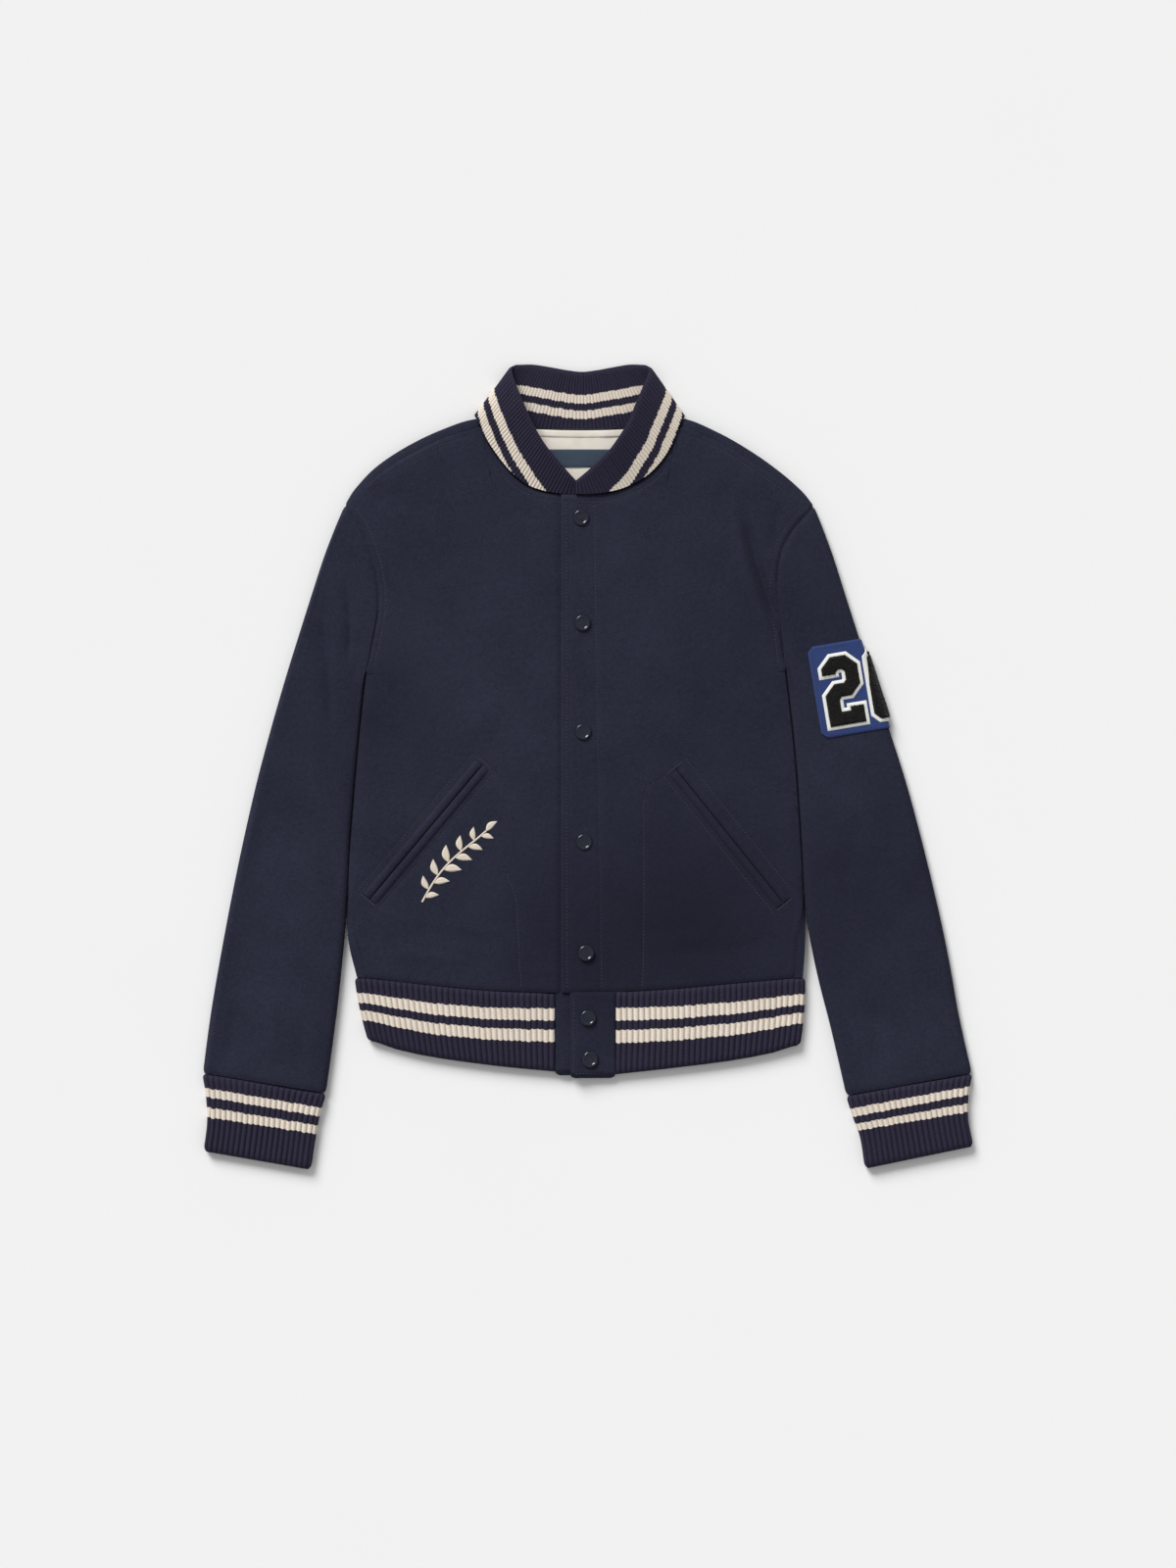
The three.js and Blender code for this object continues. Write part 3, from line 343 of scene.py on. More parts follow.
# Rows and columns of the panels' coarse grids, as in the solids
PIT_STEPS = np.array([0, 0.29 * EDGE, EDGE])
MAIN_STEPS = 8
EDGE_STEPS = 3
SIDE_ROWS = 9
SLEEVE_RINGS = 14
SHOULDER_COLUMNS = np.array([0.12, 0.3, 0.52, 0.76, 1])
FRONT_NECK = np.array([0.18, 0.36, 0.54, 0.77, 1])
BACK_NECK_SHARES = np.array([0.06, 0.16, 0.33, 0.5, 0.67, 0.84, 0.94])


def armhole_point(half, length, off):
    u = np.clip(np.asarray(length, float) / half.armhole.length, 0, 1)
    into = turned(half.armhole.tangent(u), half.sign)
    return half.armhole.at(u) + into * np.asarray(off, float)[..., None]


def main_lengths(half):
    return lerp(EDGE, half.armhole.length - RIM_INSET, shares(MAIN_STEPS)[1:])


def side_seam_path(y):
    return path_at(10) * smooth(-y, 95, 172)


def side_edge(half, t):
    across = turned(half.side.tangent(t), half.sign)
    along_hem = np.array([-half.sign, -0.08, 0])
    return half.side.at(t), unit(lerp(along_hem, across, smooth(t, 0, 0.1)[..., None]))


def shoulder_edge(half, t):
    tip = turned(half.shoulder.tangent(t), half.sign)
    along = -half.armhole.tangent(1.0)
    into = lerp(along, tip, smooth(t, 0, 0.12)[..., None])
    into[..., 2] = 0
    return half.shoulder.at(t), unit(into)


def shoulder_seam_inset(t):
    return lerp(TIP_SEAM_INSET, NECK_SEAM_INSET, smooth(t, 0.05, 0.5))


def coons(bottom, top, first, last):
    """Patch between four edges: the mean of both pairs, less the mean of the corners."""
    v = shares(len(first) - 1)[:, None, None]
    u = shares(len(bottom) - 1)[None, :, None]
    corners = lerp(lerp(bottom[0], bottom[-1], u), lerp(top[0], top[-1], u), v)
    return lerp(bottom, top, v) + lerp(first[:, None], last[:, None], u) - corners


def hem_y(x):
    return np.interp(x, HEM[:, 0], HEM[:, 1])


def pit_drop(half, p, depth):
    pit = half.side.at(1.0)
    reach = np.hypot(p[..., 0] - pit[0], p[..., 1] - pit[1])
    turn = np.arccos(1 - np.minimum(reach, EDGE) / EDGE)
    return (EDGE - depth) * (1 - np.sin(turn))


def on_top(half, level, depth):
    def place(p):
        z = level(p[..., 0], p[..., 1]) - depth - pit_drop(half, p, depth)
        return np.stack([p[..., 0], p[..., 1], z, np.ones_like(z)], -1)

    return place


def on_floor(half, depth):
    def place(p):
        z = depth + pit_drop(half, p, depth)
        return np.stack([p[..., 0], p[..., 1], z, np.zeros_like(z)], -1)

    return place


def edge_columns(half, side, place, depth):
    """Folded columns at one side of a panel, from its seam to its plain stretch."""
    edge, into = side_edge(half, shares(SIDE_ROWS))
    seam = side_seam_path(edge[:, 1])
    inner = np.full_like(seam, -RIM_PATH) if side < 0 else np.maximum(RIM_PATH, seam + 5)
    start = seam + side * SEAT / 2
    share = shares(EDGE_STEPS)
    folded = rim(edge[:, None], into[:, None], lerp(start[:, None], inner[:, None], share), depth)
    lengths = np.concatenate([PIT_STEPS[1:], main_lengths(half)])
    lengths, off = np.broadcast_arrays(lengths[:, None], GAP / 2 + share * ARM_INSET)
    return np.concatenate([folded, place(armhole_point(half, lengths, off))])


def shoulder_rows(half, ts, side, depth):
    """Folded rows along a shoulder, from the plain panel to the seam."""
    edge, into = shoulder_edge(half, ts)
    off = turned(into, -half.sign) * np.where(ts == 0, GAP / 2, 0)[:, None]
    seam = path_at(shoulder_seam_inset(ts)) + side * SEAT / 2
    share = shares(EDGE_STEPS)[1:, None]
    return rim(edge + off, into, lerp(side * RIM_PATH, seam, share), depth)


def shoulder_columns(half):
    return np.concatenate([shares(EDGE_STEPS) * ARM_INSET / half.shoulder.length, SHOULDER_COLUMNS])


def shoulder_line(half, ts, side):
    edge, into = shoulder_edge(half, ts)
    return rim(edge, into, np.full(len(ts), side * RIM_PATH), 0)[:, :2]


def neck_line(neck, at, sign, off):
    return (neck.at(at) + turned(neck.tangent(at), sign) * off)[:, :2]


def front_grid(half, front_x, level, depth):
    """Front panel: folded side edge, plain patch between four edges, shoulder seam and neck edge."""
    place = on_top(half, level, depth)
    side = edge_columns(half, 1, place, depth)
    plain = edge_columns(half, 1, place, 0)[:, -1, :2]
    ts = shoulder_columns(half)
    tops = np.concatenate([
        shoulder_line(half, ts[EDGE_STEPS:], 1),
        neck_line(half.neck, FRONT_NECK, half.sign, 5),
    ])
    tops[-1, 0] = front_x
    x = lerp(plain[0, 0], front_x, shares(len(tops) - 1))
    bottoms = np.stack([x, hem_y(x) + GAP], -1)
    bottoms[0] = plain[0]
    y = lerp(bottoms[-1, 1], tops[-1, 1], shares(len(plain) - 1))
    fronts = np.stack([np.full_like(y, front_x), y], -1)
    patch = place(coons(bottoms, tops, plain, fronts)[:, 1:])
    rims = shoulder_rows(half, ts, 1, depth)
    necks = []
    for share in shares(EDGE_STEPS)[1:]:
        neck = neck_line(half.neck, FRONT_NECK, half.sign, lerp(5, GAP / 2, share))
        neck[-1, 0] = front_x
        necks.append(place(neck))
    top = np.concatenate([rims, np.array(necks)], 1)
    return np.concatenate([np.concatenate([side, patch], 1), top])


def back_grid(depth):
    """Back panel: level on the floor, folded up round both sides and shoulders to their seams."""

    def floor(p):
        on_right = on_floor(RIGHT, depth)(p)
        on_left = on_floor(LEFT, depth)(p)
        return np.where(p[..., :1] < 0, on_right, on_left)

    right, left = (edge_columns(half, -1, floor, depth) for half in (RIGHT, LEFT))
    first, last = (edge_columns(half, -1, floor, 0)[:, -1, :2] for half in (RIGHT, LEFT))
    right_ts, left_ts = shoulder_columns(RIGHT), shoulder_columns(LEFT)
    tops = np.concatenate([
        shoulder_line(RIGHT, right_ts[EDGE_STEPS:], -1),
        neck_line(BACK_NECK, BACK_NECK_SHARES, -1, RIM_INSET),
        shoulder_line(LEFT, left_ts[EDGE_STEPS:], -1)[::-1],
    ])
    x = lerp(first[0, 0], last[0, 0], shares(len(tops) - 1))
    bottoms = np.stack([x, hem_y(x) + GAP], -1)
    bottoms[0], bottoms[-1] = first[0], last[0]
    patch = floor(coons(bottoms, tops, first, last)[:, 1:-1])
    rows = [np.concatenate([right, patch, left[:, ::-1]], 1)]
    right_rims = shoulder_rows(RIGHT, right_ts, -1, depth)
    left_rims = shoulder_rows(LEFT, left_ts, -1, depth)
    for k, share in enumerate(shares(EDGE_STEPS)[1:]):
        neck = floor(neck_line(BACK_NECK, BACK_NECK_SHARES, -1, lerp(RIM_INSET, GAP, share)))
        rows.append(np.concatenate([right_rims[k], neck, left_rims[k][::-1]])[None])
    return np.concatenate(rows)


def sleeve_ring(half, outer, inner, share, first, depth):
    """Ring of a flattened tube: the armpit side's fold, the top, the shoulder side's fold, the underside."""
    level = (outer - inner) * (1, 1, 0)
    width = np.linalg.norm(level)
    e = unit(level)
    length = half.armhole.length
    lengths = main_lengths(half)
    bent = EDGE * np.arccos(0.71)
    fold_paths = np.array([-QUARTER_FOLD, -bent, 0, bent, QUARTER_FOLD])
    seam = path_at(TIP_SEAM_INSET)
    up = lerp(RIM_PATH, seam, shares(EDGE_STEPS))
    tip_paths = np.concatenate([up, lerp(seam, -RIM_PATH, shares(EDGE_STEPS))[1:]])
    if first:
        turn = np.minimum(np.abs(fold_paths) / EDGE, np.pi / 2)
        p = armhole_point(half, EDGE * (1 - np.cos(turn)), np.full(5, -GAP / 2))
        p[2] += e * depth
        z = EDGE + np.sign(fold_paths) * (EDGE - depth) * np.sin(turn)
        fold = np.column_stack([p[:, :2], z, 0 * z])
        edge, into = shoulder_edge(half, np.zeros(1))
        edge = edge + turned(into, half.sign) * GAP / 2
        tip = rim(edge, into, tip_paths, depth)
        main = armhole_point(half, lengths, np.full(MAIN_STEPS, -GAP / 2))
    else:
        fold = rim(inner, e, fold_paths, depth)
        tip = rim(outer, -e, tip_paths, depth)
        u = lengths / length
        arm = half.armhole
        bulge = (arm.at(u) - lerp(arm.at(0.0), arm.at(1.0), u[:, None])) * (1 - share) ** 3
        main = inner + e * (u * width)[:, None] + bulge
    inset = np.minimum(lengths / length, 1 - lengths / length) * width
    above = np.column_stack([main[:, :2], np.full(MAIN_STEPS, LAID - depth), smooth(inset, EDGE, 16)])
    below = np.column_stack([main[:, :2], np.full(MAIN_STEPS, depth), 0 * inset])[::-1]
    return np.concatenate([fold, above[:-1], tip, below[1:]])


def sleeve_grid(half, rows, depth):
    outers, inners = Curve(rows[:, :2]), Curve(rows[:, 2:])
    return np.array([
        sleeve_ring(half, outers.point(t), inners.point(t), min(t * 2.2, 1), i == 0, depth)
        for i, t in enumerate(shares(SLEEVE_RINGS))
    ])


def refined(grid, pitch, closed=False):
    """Finer rows of a grid: between two of them each column follows a cubic with its rows' slopes."""
    rows = len(grid)
    first, last = (2, rows + 2) if closed else (0, rows - 1)
    g = np.concatenate([grid[-2:], grid, grid[:3]]) if closed else grid
    gaps = np.linalg.norm(np.diff(g[..., :3], axis=0), axis=-1).mean(-1)[:, None, None]
    slopes = np.diff(g, axis=0) / gaps
    middle = (g[2:] - g[:-2]) / (gaps[1:] + gaps[:-1])
    tangents = np.concatenate([slopes[:1], middle, slopes[-1:]])
    out = []
    for k in range(first, last):
        steps = max(1, round(float(gaps[k, 0, 0]) / pitch))
        w = (np.arange(steps) / steps)[:, None, None]
        rise, m0, m1 = g[k + 1] - g[k], tangents[k] * gaps[k], tangents[k + 1] * gaps[k]
        out.append(g[k] + m0 * w + (3 * rise - 2 * m0 - m1) * w**2 + (m0 + m1 - 2 * rise) * w**3)
    if not closed:
        out.append(g[-1:])
    return np.concatenate(out)


def fine(outer, inner, pitch, closed=False):
    """Both faces of a shell on a finer grid, with the relief added."""
    both = refined(np.concatenate([outer, inner], -1), pitch)
    both = refined(both.swapaxes(0, 1), pitch, closed).swapaxes(0, 1)
    faces = []
    for face in (both[..., :4], both[..., 4:]):
        points = face[..., :3].copy()
        points[..., 2] += face[..., 3] * relief(points[..., 0], points[..., 1])
        faces.append(points)
    return faces


def normals(grid, closed=False):
    """Unit normals of a grid from the differences of its neighbours."""
    down = np.gradient(grid, axis=0)
    if closed:
        wrapped = np.concatenate([grid[:, -1:], grid, grid[:, :1]], 1)
        across = (wrapped[:, 2:] - wrapped[:, :-2]) / 2
    else:
        across = np.gradient(grid, axis=1)
    return unit(np.cross(across, down))


def outward(outer, inner, closed=False):
    """Normals of the outer face that point away from the inner one."""
    n = normals(outer, closed)
    flip = np.sign(np.sum((outer - inner) * n, -1).mean())
    return n * flip


def from_edge(grid, edge):
    """Length along the grid from one of its edges: low and high are rows, first and last columns."""
    axis = 0 if edge in ("low", "high") else 1
    runs = np.linalg.norm(np.diff(grid, axis=axis), axis=-1)
    pad = [(0, 0), (0, 0)]
    pad[axis] = (1, 0)
    along = np.pad(np.cumsum(runs, axis=axis), pad)
    if edge in ("low", "first"):
        return along
    return (along[-1:] if axis == 0 else along[:, -1:]) - along


def softened(outer, inner, seams, closed=False):
    """Outer face pulled in along its normal near its seams. A seam is (edge, drop, reach, stitch inset):
    a bell of that drop and reach at the edge, and a narrow groove with small puckers at the inset."""
    n = outward(outer, inner, closed)
    drop = np.zeros(outer.shape[:2])
    for edge, fall, reach, inset in seams:
        d = from_edge(outer, edge)
        drop += fall * np.exp(-((d / reach) ** 2))
        if inset:
            drop += 0.42 * np.exp(-(((d - inset) / 1.5) ** 2))
            pucker = ripple(outer[..., 0], outer[..., 1], 9, 11)
            drop += 0.16 * pucker * np.exp(-((d / (inset * 1.5)) ** 2))
    return outer - n * drop[..., None]


def wall_mesh(outer, inner, closed=False):
    """Vertices and faces of a closed wall between two grids, with a rim along each open edge."""
    rows, columns = outer.shape[:2]
    points = np.concatenate([outer.reshape(-1, 3), inner.reshape(-1, 3)])
    index = np.arange(rows * columns).reshape(rows, columns)
    if closed:
        index = np.concatenate([index, index[:, :1]], 1)
    other = index + rows * columns

    def quads(a, b, c, d):
        return np.stack([a, b, c, d], -1).reshape(-1, 4)

    parts = [
        quads(index[:-1, :-1], index[:-1, 1:], index[1:, 1:], index[1:, :-1]),
        quads(other[:-1, :-1], other[1:, :-1], other[1:, 1:], other[:-1, 1:]),
        quads(index[0, :-1], other[0, :-1], other[0, 1:], index[0, 1:]),
        quads(index[-1, :-1], index[-1, 1:], other[-1, 1:], other[-1, :-1]),
    ]
    if not closed:
        parts.append(quads(index[:-1, 0], index[1:, 0], other[1:, 0], other[:-1, 0]))
        parts.append(quads(index[:-1, -1], other[:-1, -1], other[1:, -1], index[1:, -1]))
    faces = np.concatenate(parts)
    a, b, c, d = (points[faces[:, i]] for i in range(4))
    volume = np.sum(a * np.cross(b, c)) + np.sum(a * np.cross(c, d))
    return points, faces if volume > 0 else faces[:, ::-1]


def make(name, points, faces, material, slot, uv=None, sharp=50):
    """Mesh object of these millimetre points, smooth but for edges sharper than the angle."""
    mesh = bpy.data.meshes.new(name)
    rows = faces.tolist() if isinstance(faces, np.ndarray) else faces
    mesh.from_pydata((np.asarray(points) * MM).tolist(), [], rows)
    mesh.polygons.foreach_set("use_smooth", np.ones(len(mesh.polygons), bool))
    if uv is not None:
        layer = mesh.uv_layers.new(name="UVMap")
        loops = np.empty(len(mesh.loops), int)
        mesh.loops.foreach_get("vertex_index", loops)
        layer.data.foreach_set("uv", np.asarray(uv, float)[loops].ravel())
    mesh.set_sharp_from_angle(angle=np.radians(sharp))
    mesh.materials.append(material)
    obj = bpy.data.objects.new(name, mesh)
    bpy.context.scene.collection.objects.link(obj)
    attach(obj, "root")
    return obj


def joined(parts):
    """One list of points and one of faces from several (points, faces)."""
    points, faces, count = [], [], 0
    for part_points, part_faces in parts:
        points.append(part_points)
        faces.append(np.asarray(part_faces) + count)
        count += len(part_points)
    return np.concatenate(points), np.concatenate(faces)


class Field:
    """Value or colour in a shader graph, with arithmetic."""

    def __init__(self, graph, socket):
        self.graph, self.socket = graph, socket

    def math(self, operation, *values, clamp=False):
        node = self.graph.node("ShaderNodeMath", [self, *values], operation=operation, use_clamp=clamp)
        return Field(self.graph, node.outputs[0])

    def __add__(self, other):
        return self.math("ADD", other)

    def __sub__(self, other):
        return self.math("SUBTRACT", other)

    def __rsub__(self, other):
        return (self * -1) + other

    def __mul__(self, other):
        return self.math("MULTIPLY", other)

    def __truediv__(self, other):
        return self.math("DIVIDE", other)

    __radd__ = __add__
    __rmul__ = __mul__

    def between(self, low, high):
        """0 below low, 1 above high and straight between, or the other way round."""
        return ((self - low) / (high - low)).math("ADD", 0, clamp=True)


class Graph:
    """Principled material and the nodes that feed it."""

    def __init__(self, name, **constants):
        self.material = bpy.data.materials.new(name)
        self.material.use_nodes = True
        self.tree = self.material.node_tree
        self.shader = self.tree.nodes["Principled BSDF"]
        for key, value in constants.items():
            self.shader.inputs[key.replace("_", " ")].default_value = value
        self.where = Field(self, self.tree.nodes.new("ShaderNodeTexCoord").outputs["Object"])

    def node(self, kind, values=(), **settings):
        node = self.tree.nodes.new(kind)
        for key, value in settings.items():
            setattr(node, key, value)
        pairs = values.items() if isinstance(values, dict) else enumerate(values)
        for key, value in pairs:
            if isinstance(value, Field):
                self.tree.links.new(value.socket, node.inputs[key])
            else:
                node.inputs[key].default_value = value
        return node

    def noise(self, scale, detail=2.0, roughness=0.5, vector=None):
        vector = vector or self.where
        values = {"Vector": vector, "Scale": scale, "Detail": detail, "Roughness": roughness}
        return Field(self, self.node("ShaderNodeTexNoise", values).outputs[0])

    def stretched(self, factors, angle=0.0):
        """Object coordinates turned about Z and multiplied."""
        values = {0: self.where, 2: (0, 0, angle), 3: factors}
        return Field(self, self.node("ShaderNodeMapping", values).outputs[0])

    def mix(self, share, a, b):
        a, b = ((*v, 1) if isinstance(v, tuple) and len(v) == 3 else v for v in (a, b))
        node = self.node("ShaderNodeMix", {0: share, 6: a, 7: b}, data_type="RGBA")
        return Field(self, node.outputs[2])

    def near(self, x, y, reach):
        """1 at a place on the jacket, in metres, and 0 from this distance on."""
        flat = self.node("ShaderNodeVectorMath", {0: self.where, 1: (1, 1, 0)}, operation="MULTIPLY")
        values = {0: Field(self, flat.outputs[0]), 1: (x, y, 0)}
        away = self.node("ShaderNodeVectorMath", values, operation="DISTANCE")
        return Field(self, away.outputs["Value"]).between(reach, 0)

    def uv(self):
        split = self.node("ShaderNodeSeparateXYZ", [Field(self, self.node("ShaderNodeUVMap").outputs[0])])
        return Field(self, split.outputs[0]), Field(self, split.outputs[1])

    def bump(self, height, distance, strength=1.0):
        """Raises the surface by height times distance, in metres, above what is already raised."""
        values = {"Strength": strength, "Distance": distance, "Height": height}
        old = self.shader.inputs["Normal"].links
        if old:
            values["Normal"] = Field(self, old[0].from_socket)
        node = self.node("ShaderNodeBump", values)
        self.tree.links.new(node.outputs[0], self.shader.inputs["Normal"])

    def feed(self, **fields):
        for key, field in fields.items():
            self.tree.links.new(field.socket, self.shader.inputs[key.replace("_", " ")])
        return self.material


# Painted shade: broad spots where the wool is darkened as if light fell off there. Columns: x, y and reach in
# metres, strength
PAINTED_SHADE_SPOTS = [
    (0.09, -0.14, 0.19, 0.75), (0.15, 0.11, 0.13, 0.3), (-0.2, 0.05, 0.1, 0.35), (0.29, -0.1, 0.14, 0.35),
    (-0.05, -0.17, 0.12, 0.2),
]


def wool_material():
    """Milled wool: fibres felted in every direction, a short nap and paler lint, and broad spots of painted
    shade.
    """
    g = Graph("wool", Roughness=0.95, Sheen_Weight=0.05, Sheen_Roughness=0.4, Specular_IOR_Level=0.08)
    g.shader.inputs["Sheen Tint"].default_value = (0.45, 0.46, 0.6, 1)
    fibres = g.noise(900, 4, 0.62)
    felt = g.noise(230, 3, 0.6)
    clouds = g.noise(28, 3, 0.5)
    broad = g.noise(7, 2, 0.5)
    dark, pale = (0.0115, 0.0123, 0.0235), (0.0345, 0.0365, 0.0615)
    share = fibres.between(0.3, 0.72) * 0.5 + felt.between(0.3, 0.7) * 0.2
    share = share + clouds.between(0.3, 0.7) * 0.12 + broad.between(0.32, 0.68) * 0.18
    lint = g.noise(1500, 1, 0.5).between(0.72, 0.8) * 0.5
    color = g.mix(lint, g.mix(share, dark, pale), (0.10, 0.11, 0.14))
    # Painted shade: the wool is darkened towards deep navy round each spot
    painted_shade = 0
    for x, y, reach, strength in PAINTED_SHADE_SPOTS:
        painted_shade = g.near(x, y, reach) * strength + painted_shade
    color = g.mix(painted_shade, color, (0.0095, 0.0095, 0.019))
    g.bump(felt, 0.0007, 0.5)
    g.bump(fibres, 0.0004, 0.6)
    return g.feed(Base_Color=color)


def rib_material(name, stripes):
    """Rib knit with stripes between lengths along the rib, which step from rib to rib. The UV is the rib's
    number and the length in millimetres."""
    g = Graph(name, Roughness=0.9, Sheen_Weight=0.04, Sheen_Roughness=0.4, Specular_IOR_Level=0.1)
    rib, length = g.uv()
    share = rib.math("FRACT")
    from_top = (share - 0.5).math("ABSOLUTE") * 2
    number = rib.math("FLOOR")
    step = Field(g, g.node("ShaderNodeTexWhiteNoise", {"W": number}, noise_dimensions="1D").outputs[0])
    place = length + (step - 0.5) * 0.9 + from_top * 0.8
    stripe = None
    for low, high in stripes:
        one = place.between(low - 0.25, low + 0.25) * place.between(high + 0.25, high - 0.25)
        stripe = one if stripe is None else stripe + one
    fuzz = g.noise(1100, 3, 0.6)
    yarn = g.noise(170, 2, 0.5)
    navy = g.mix(fuzz.between(0.3, 0.7), (0.016, 0.0138, 0.029), (0.038, 0.033, 0.060))
    cream = g.mix(fuzz.between(0.3, 0.7), (0.66, 0.57, 0.47), (0.86, 0.79, 0.70))
    # Painted shade: the grooves between ribs are darkened towards a deep tone of the stripe's colour
    groove_shade = from_top.between(0.55, 1.0) * 0.6
    shade = g.mix(stripe, (0.006, 0.0055, 0.011), (0.30, 0.24, 0.19))
    color = g.mix(groove_shade, g.mix(stripe, navy, cream), shade)
    stitches = ((length * (2 * np.pi / 1.5)) + (from_top * 2.4)).math("SINE")
    g.bump(stitches * (1 - from_top), 0.0002, 0.4)
    g.bump(fuzz + yarn, 0.0004, 0.5)
    return g.feed(Base_Color=color)


def satin_material():
    """Smooth lining with a fine diagonal twill and soft pressed creases, with painted shade in their hollows.
    """
    g = Graph("satin", Roughness=0.42, Sheen_Weight=0.1, Specular_IOR_Level=0.45)
    twill = g.noise(1.0, 2, 0.5, g.stretched((900, 5200, 900), 0.7))
    fold_height_and_shade = g.noise(45, 2, 0.5)
    # Painted shade: the lining is darker where the folds' bumps are low
    color = g.mix(fold_height_and_shade.between(0.3, 0.7), (0.70, 0.64, 0.55), (0.82, 0.77, 0.69))
    g.bump(fold_height_and_shade, 0.0016, 0.5)
    g.bump(twill, 0.0001, 0.4)
    return g.feed(Base_Color=color)


def label_material():
    """Woven label: fine ribs across and paler threads."""
    g = Graph("woven_label", Roughness=0.62, Sheen_Weight=0.1, Specular_IOR_Level=0.35)
    weft = g.noise(1.0, 2, 0.5, g.stretched((300, 5600, 300)))
    color = g.mix(weft.between(0.3, 0.7), (0.024, 0.041, 0.068), (0.037, 0.060, 0.094))
    g.bump(weft, 0.00012, 0.6)
    return g.feed(Base_Color=color)


def felt_material(name, dark, pale):
    """Pressed felt: short fibres in every direction."""
    g = Graph(name, Roughness=0.93, Sheen_Weight=0.12, Specular_IOR_Level=0.2)
    fibres = g.noise(1000, 4, 0.65)
    color = g.mix(fibres.between(0.3, 0.7), dark, pale)
    g.bump(fibres, 0.0004, 0.6)
    return g.feed(Base_Color=color)


def chenille_material():
    """Black chenille: a pile of small loops in rows, deep shade between them."""
    g = Graph("chenille_pile", Roughness=0.98, Sheen_Weight=0.1, Sheen_Roughness=0.6, Specular_IOR_Level=0.1)
    cells = Field(g, g.node("ShaderNodeTexVoronoi", {"Vector": g.where, "Scale": 620.0}).outputs[0])
    pile = cells.between(0.0, 0.75)
    color = g.mix(pile, (0.013, 0.0115, 0.0105), (0.0025, 0.0022, 0.002))
    g.bump(pile * -1, 0.0011, 0.8)
    return g.feed(Base_Color=color)


def snap_material():
    """Enamelled cap: glossy paint with light handling marks."""
    g = Graph("snap_enamel", Metallic=0.0, Coat_Weight=0.7, Coat_Roughness=0.09, Specular_IOR_Level=0.2)
    marks = g.noise(420, 3, 0.6)
    color = g.mix(marks.between(0.35, 0.7), (0.004, 0.007, 0.017), (0.010, 0.015, 0.030))
    g.bump(marks, 0.00004, 0.4)
    return g.feed(Base_Color=color, Roughness=marks * 0.15 + 0.14)


def thread_material(name, dark, pale):
    """Twisted sewing thread."""
    g = Graph(name, Roughness=0.6, Sheen_Weight=0.2, Specular_IOR_Level=0.4)
    twist = g.noise(1600, 2, 0.5)
    g.bump(twist, 0.00012, 0.6)
    return g.feed(Base_Color=g.mix(twist.between(0.3, 0.7), dark, pale))


# Stripes of each rib piece, in millimetres of its UV
RIB_LENGTH = 70
RIGHT_CUFF_STRIPES = [(15.9, 25.0), (34.6, 43.2)]
LEFT_CUFF_STRIPES = [(14.2, 23.2), (32.2, 40.8)]
HEM_STRIPES = [(14.1, 24.8), (33.0, 43.8)]
COLLAR_STRIPES = [(21.6, 29.4), (36.0, 43.4)]

WOOL = wool_material()
SATIN = satin_material()
WOVEN = label_material()
BLUE_FELT = felt_material("blue_felt", (0.017, 0.033, 0.115), (0.036, 0.062, 0.205))
WHITE_FELT = felt_material("white_felt", (0.72, 0.72, 0.68), (0.87, 0.87, 0.84))
PILE = chenille_material()
ENAMEL = snap_material()
NAVY_THREAD = thread_material("navy_thread", (0.006, 0.007, 0.014), (0.020, 0.021, 0.037))
CREAM_THREAD = thread_material("cream_thread", (0.58, 0.49, 0.38), (0.85, 0.78, 0.67))


def cloth(node, flat, area):
    """Hides the solid of this node, for which a shell stands."""
    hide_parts(node)


# Columns: from x, from y, to x, to y, side on which the outer welt lies
SLITS = {"right": (-97.6, 0.8, -199, -120, 1), "left": (81.8, -3.8, 178, -123.6, -1)}
PLACKET_STITCH = PLACKET_EDGE + 5.2
# Lines of topstitching that cross the fronts, beside those along their edges
STITCH_LINES = {
    "left_front": [
        [(PLACKET_STITCH, 243), (PLACKET_STITCH, 100), (PLACKET_STITCH, -60), (PLACKET_STITCH, -203)],
        [(6.3, 243), (6.6, 200), (8.1, 74), (10.8, -70), (12.6, -203)],
        [(68, -11.3), (55.4, -19), (51.3, -32), (51.1, -68), (51.3, -110), (50, -196), (49, -202)],
    ],
    "right_front": [[(-74.7, -97.7), (-66.2, -121), (-64.1, -152.6), (-61.2, -202)]],
}


def slit_axes(side):
    """Both ends of a slit, the unit vector along it and the one across it."""
    start, end = np.array(SLITS[side][:2]), np.array(SLITS[side][2:4])
    along = unit(end - start)
    return start, end, along, np.array([-along[1], along[0]])


for pocket in SLITS:
    slit_start, slit_end, slit_along, slit_across = slit_axes(pocket)
    for reach in (-WELT_WIDTH - 5, WELT_WIDTH + 5):
        ends = (slit_start - slit_along * 4, (slit_start + slit_end) / 2, slit_end + slit_along * 4)
        STITCH_LINES[f"{pocket}_front"].append([tuple(p + slit_across * reach) for p in ends])


def line_distance(x, y, path):
    """Least distance from each place to a line of points."""
    points = np.array(path, float)
    least = np.full(np.shape(x), 1e9)
    for (ax, ay), (bx, by) in zip(points[:-1], points[1:]):
        dx, dy = bx - ax, by - ay
        share = np.clip(((x - ax) * dx + (y - ay) * dy) / (dx * dx + dy * dy), 0, 1)
        least = np.minimum(least, np.hypot(x - ax - share * dx, y - ay - share * dy))
    return least


def side_drop(half, y):
    """How far cloth dips at the armhole's seam, and lower down at the side seam. Between the two it
    dips little, because there a side of the body lies against its sleeve."""
    pit = float(half.side.at(1.0)[1])
    return 0.08 + 1.35 * smooth(y, pit + 1, pit + 16) + 0.6 * smooth(-y, 100, 150)


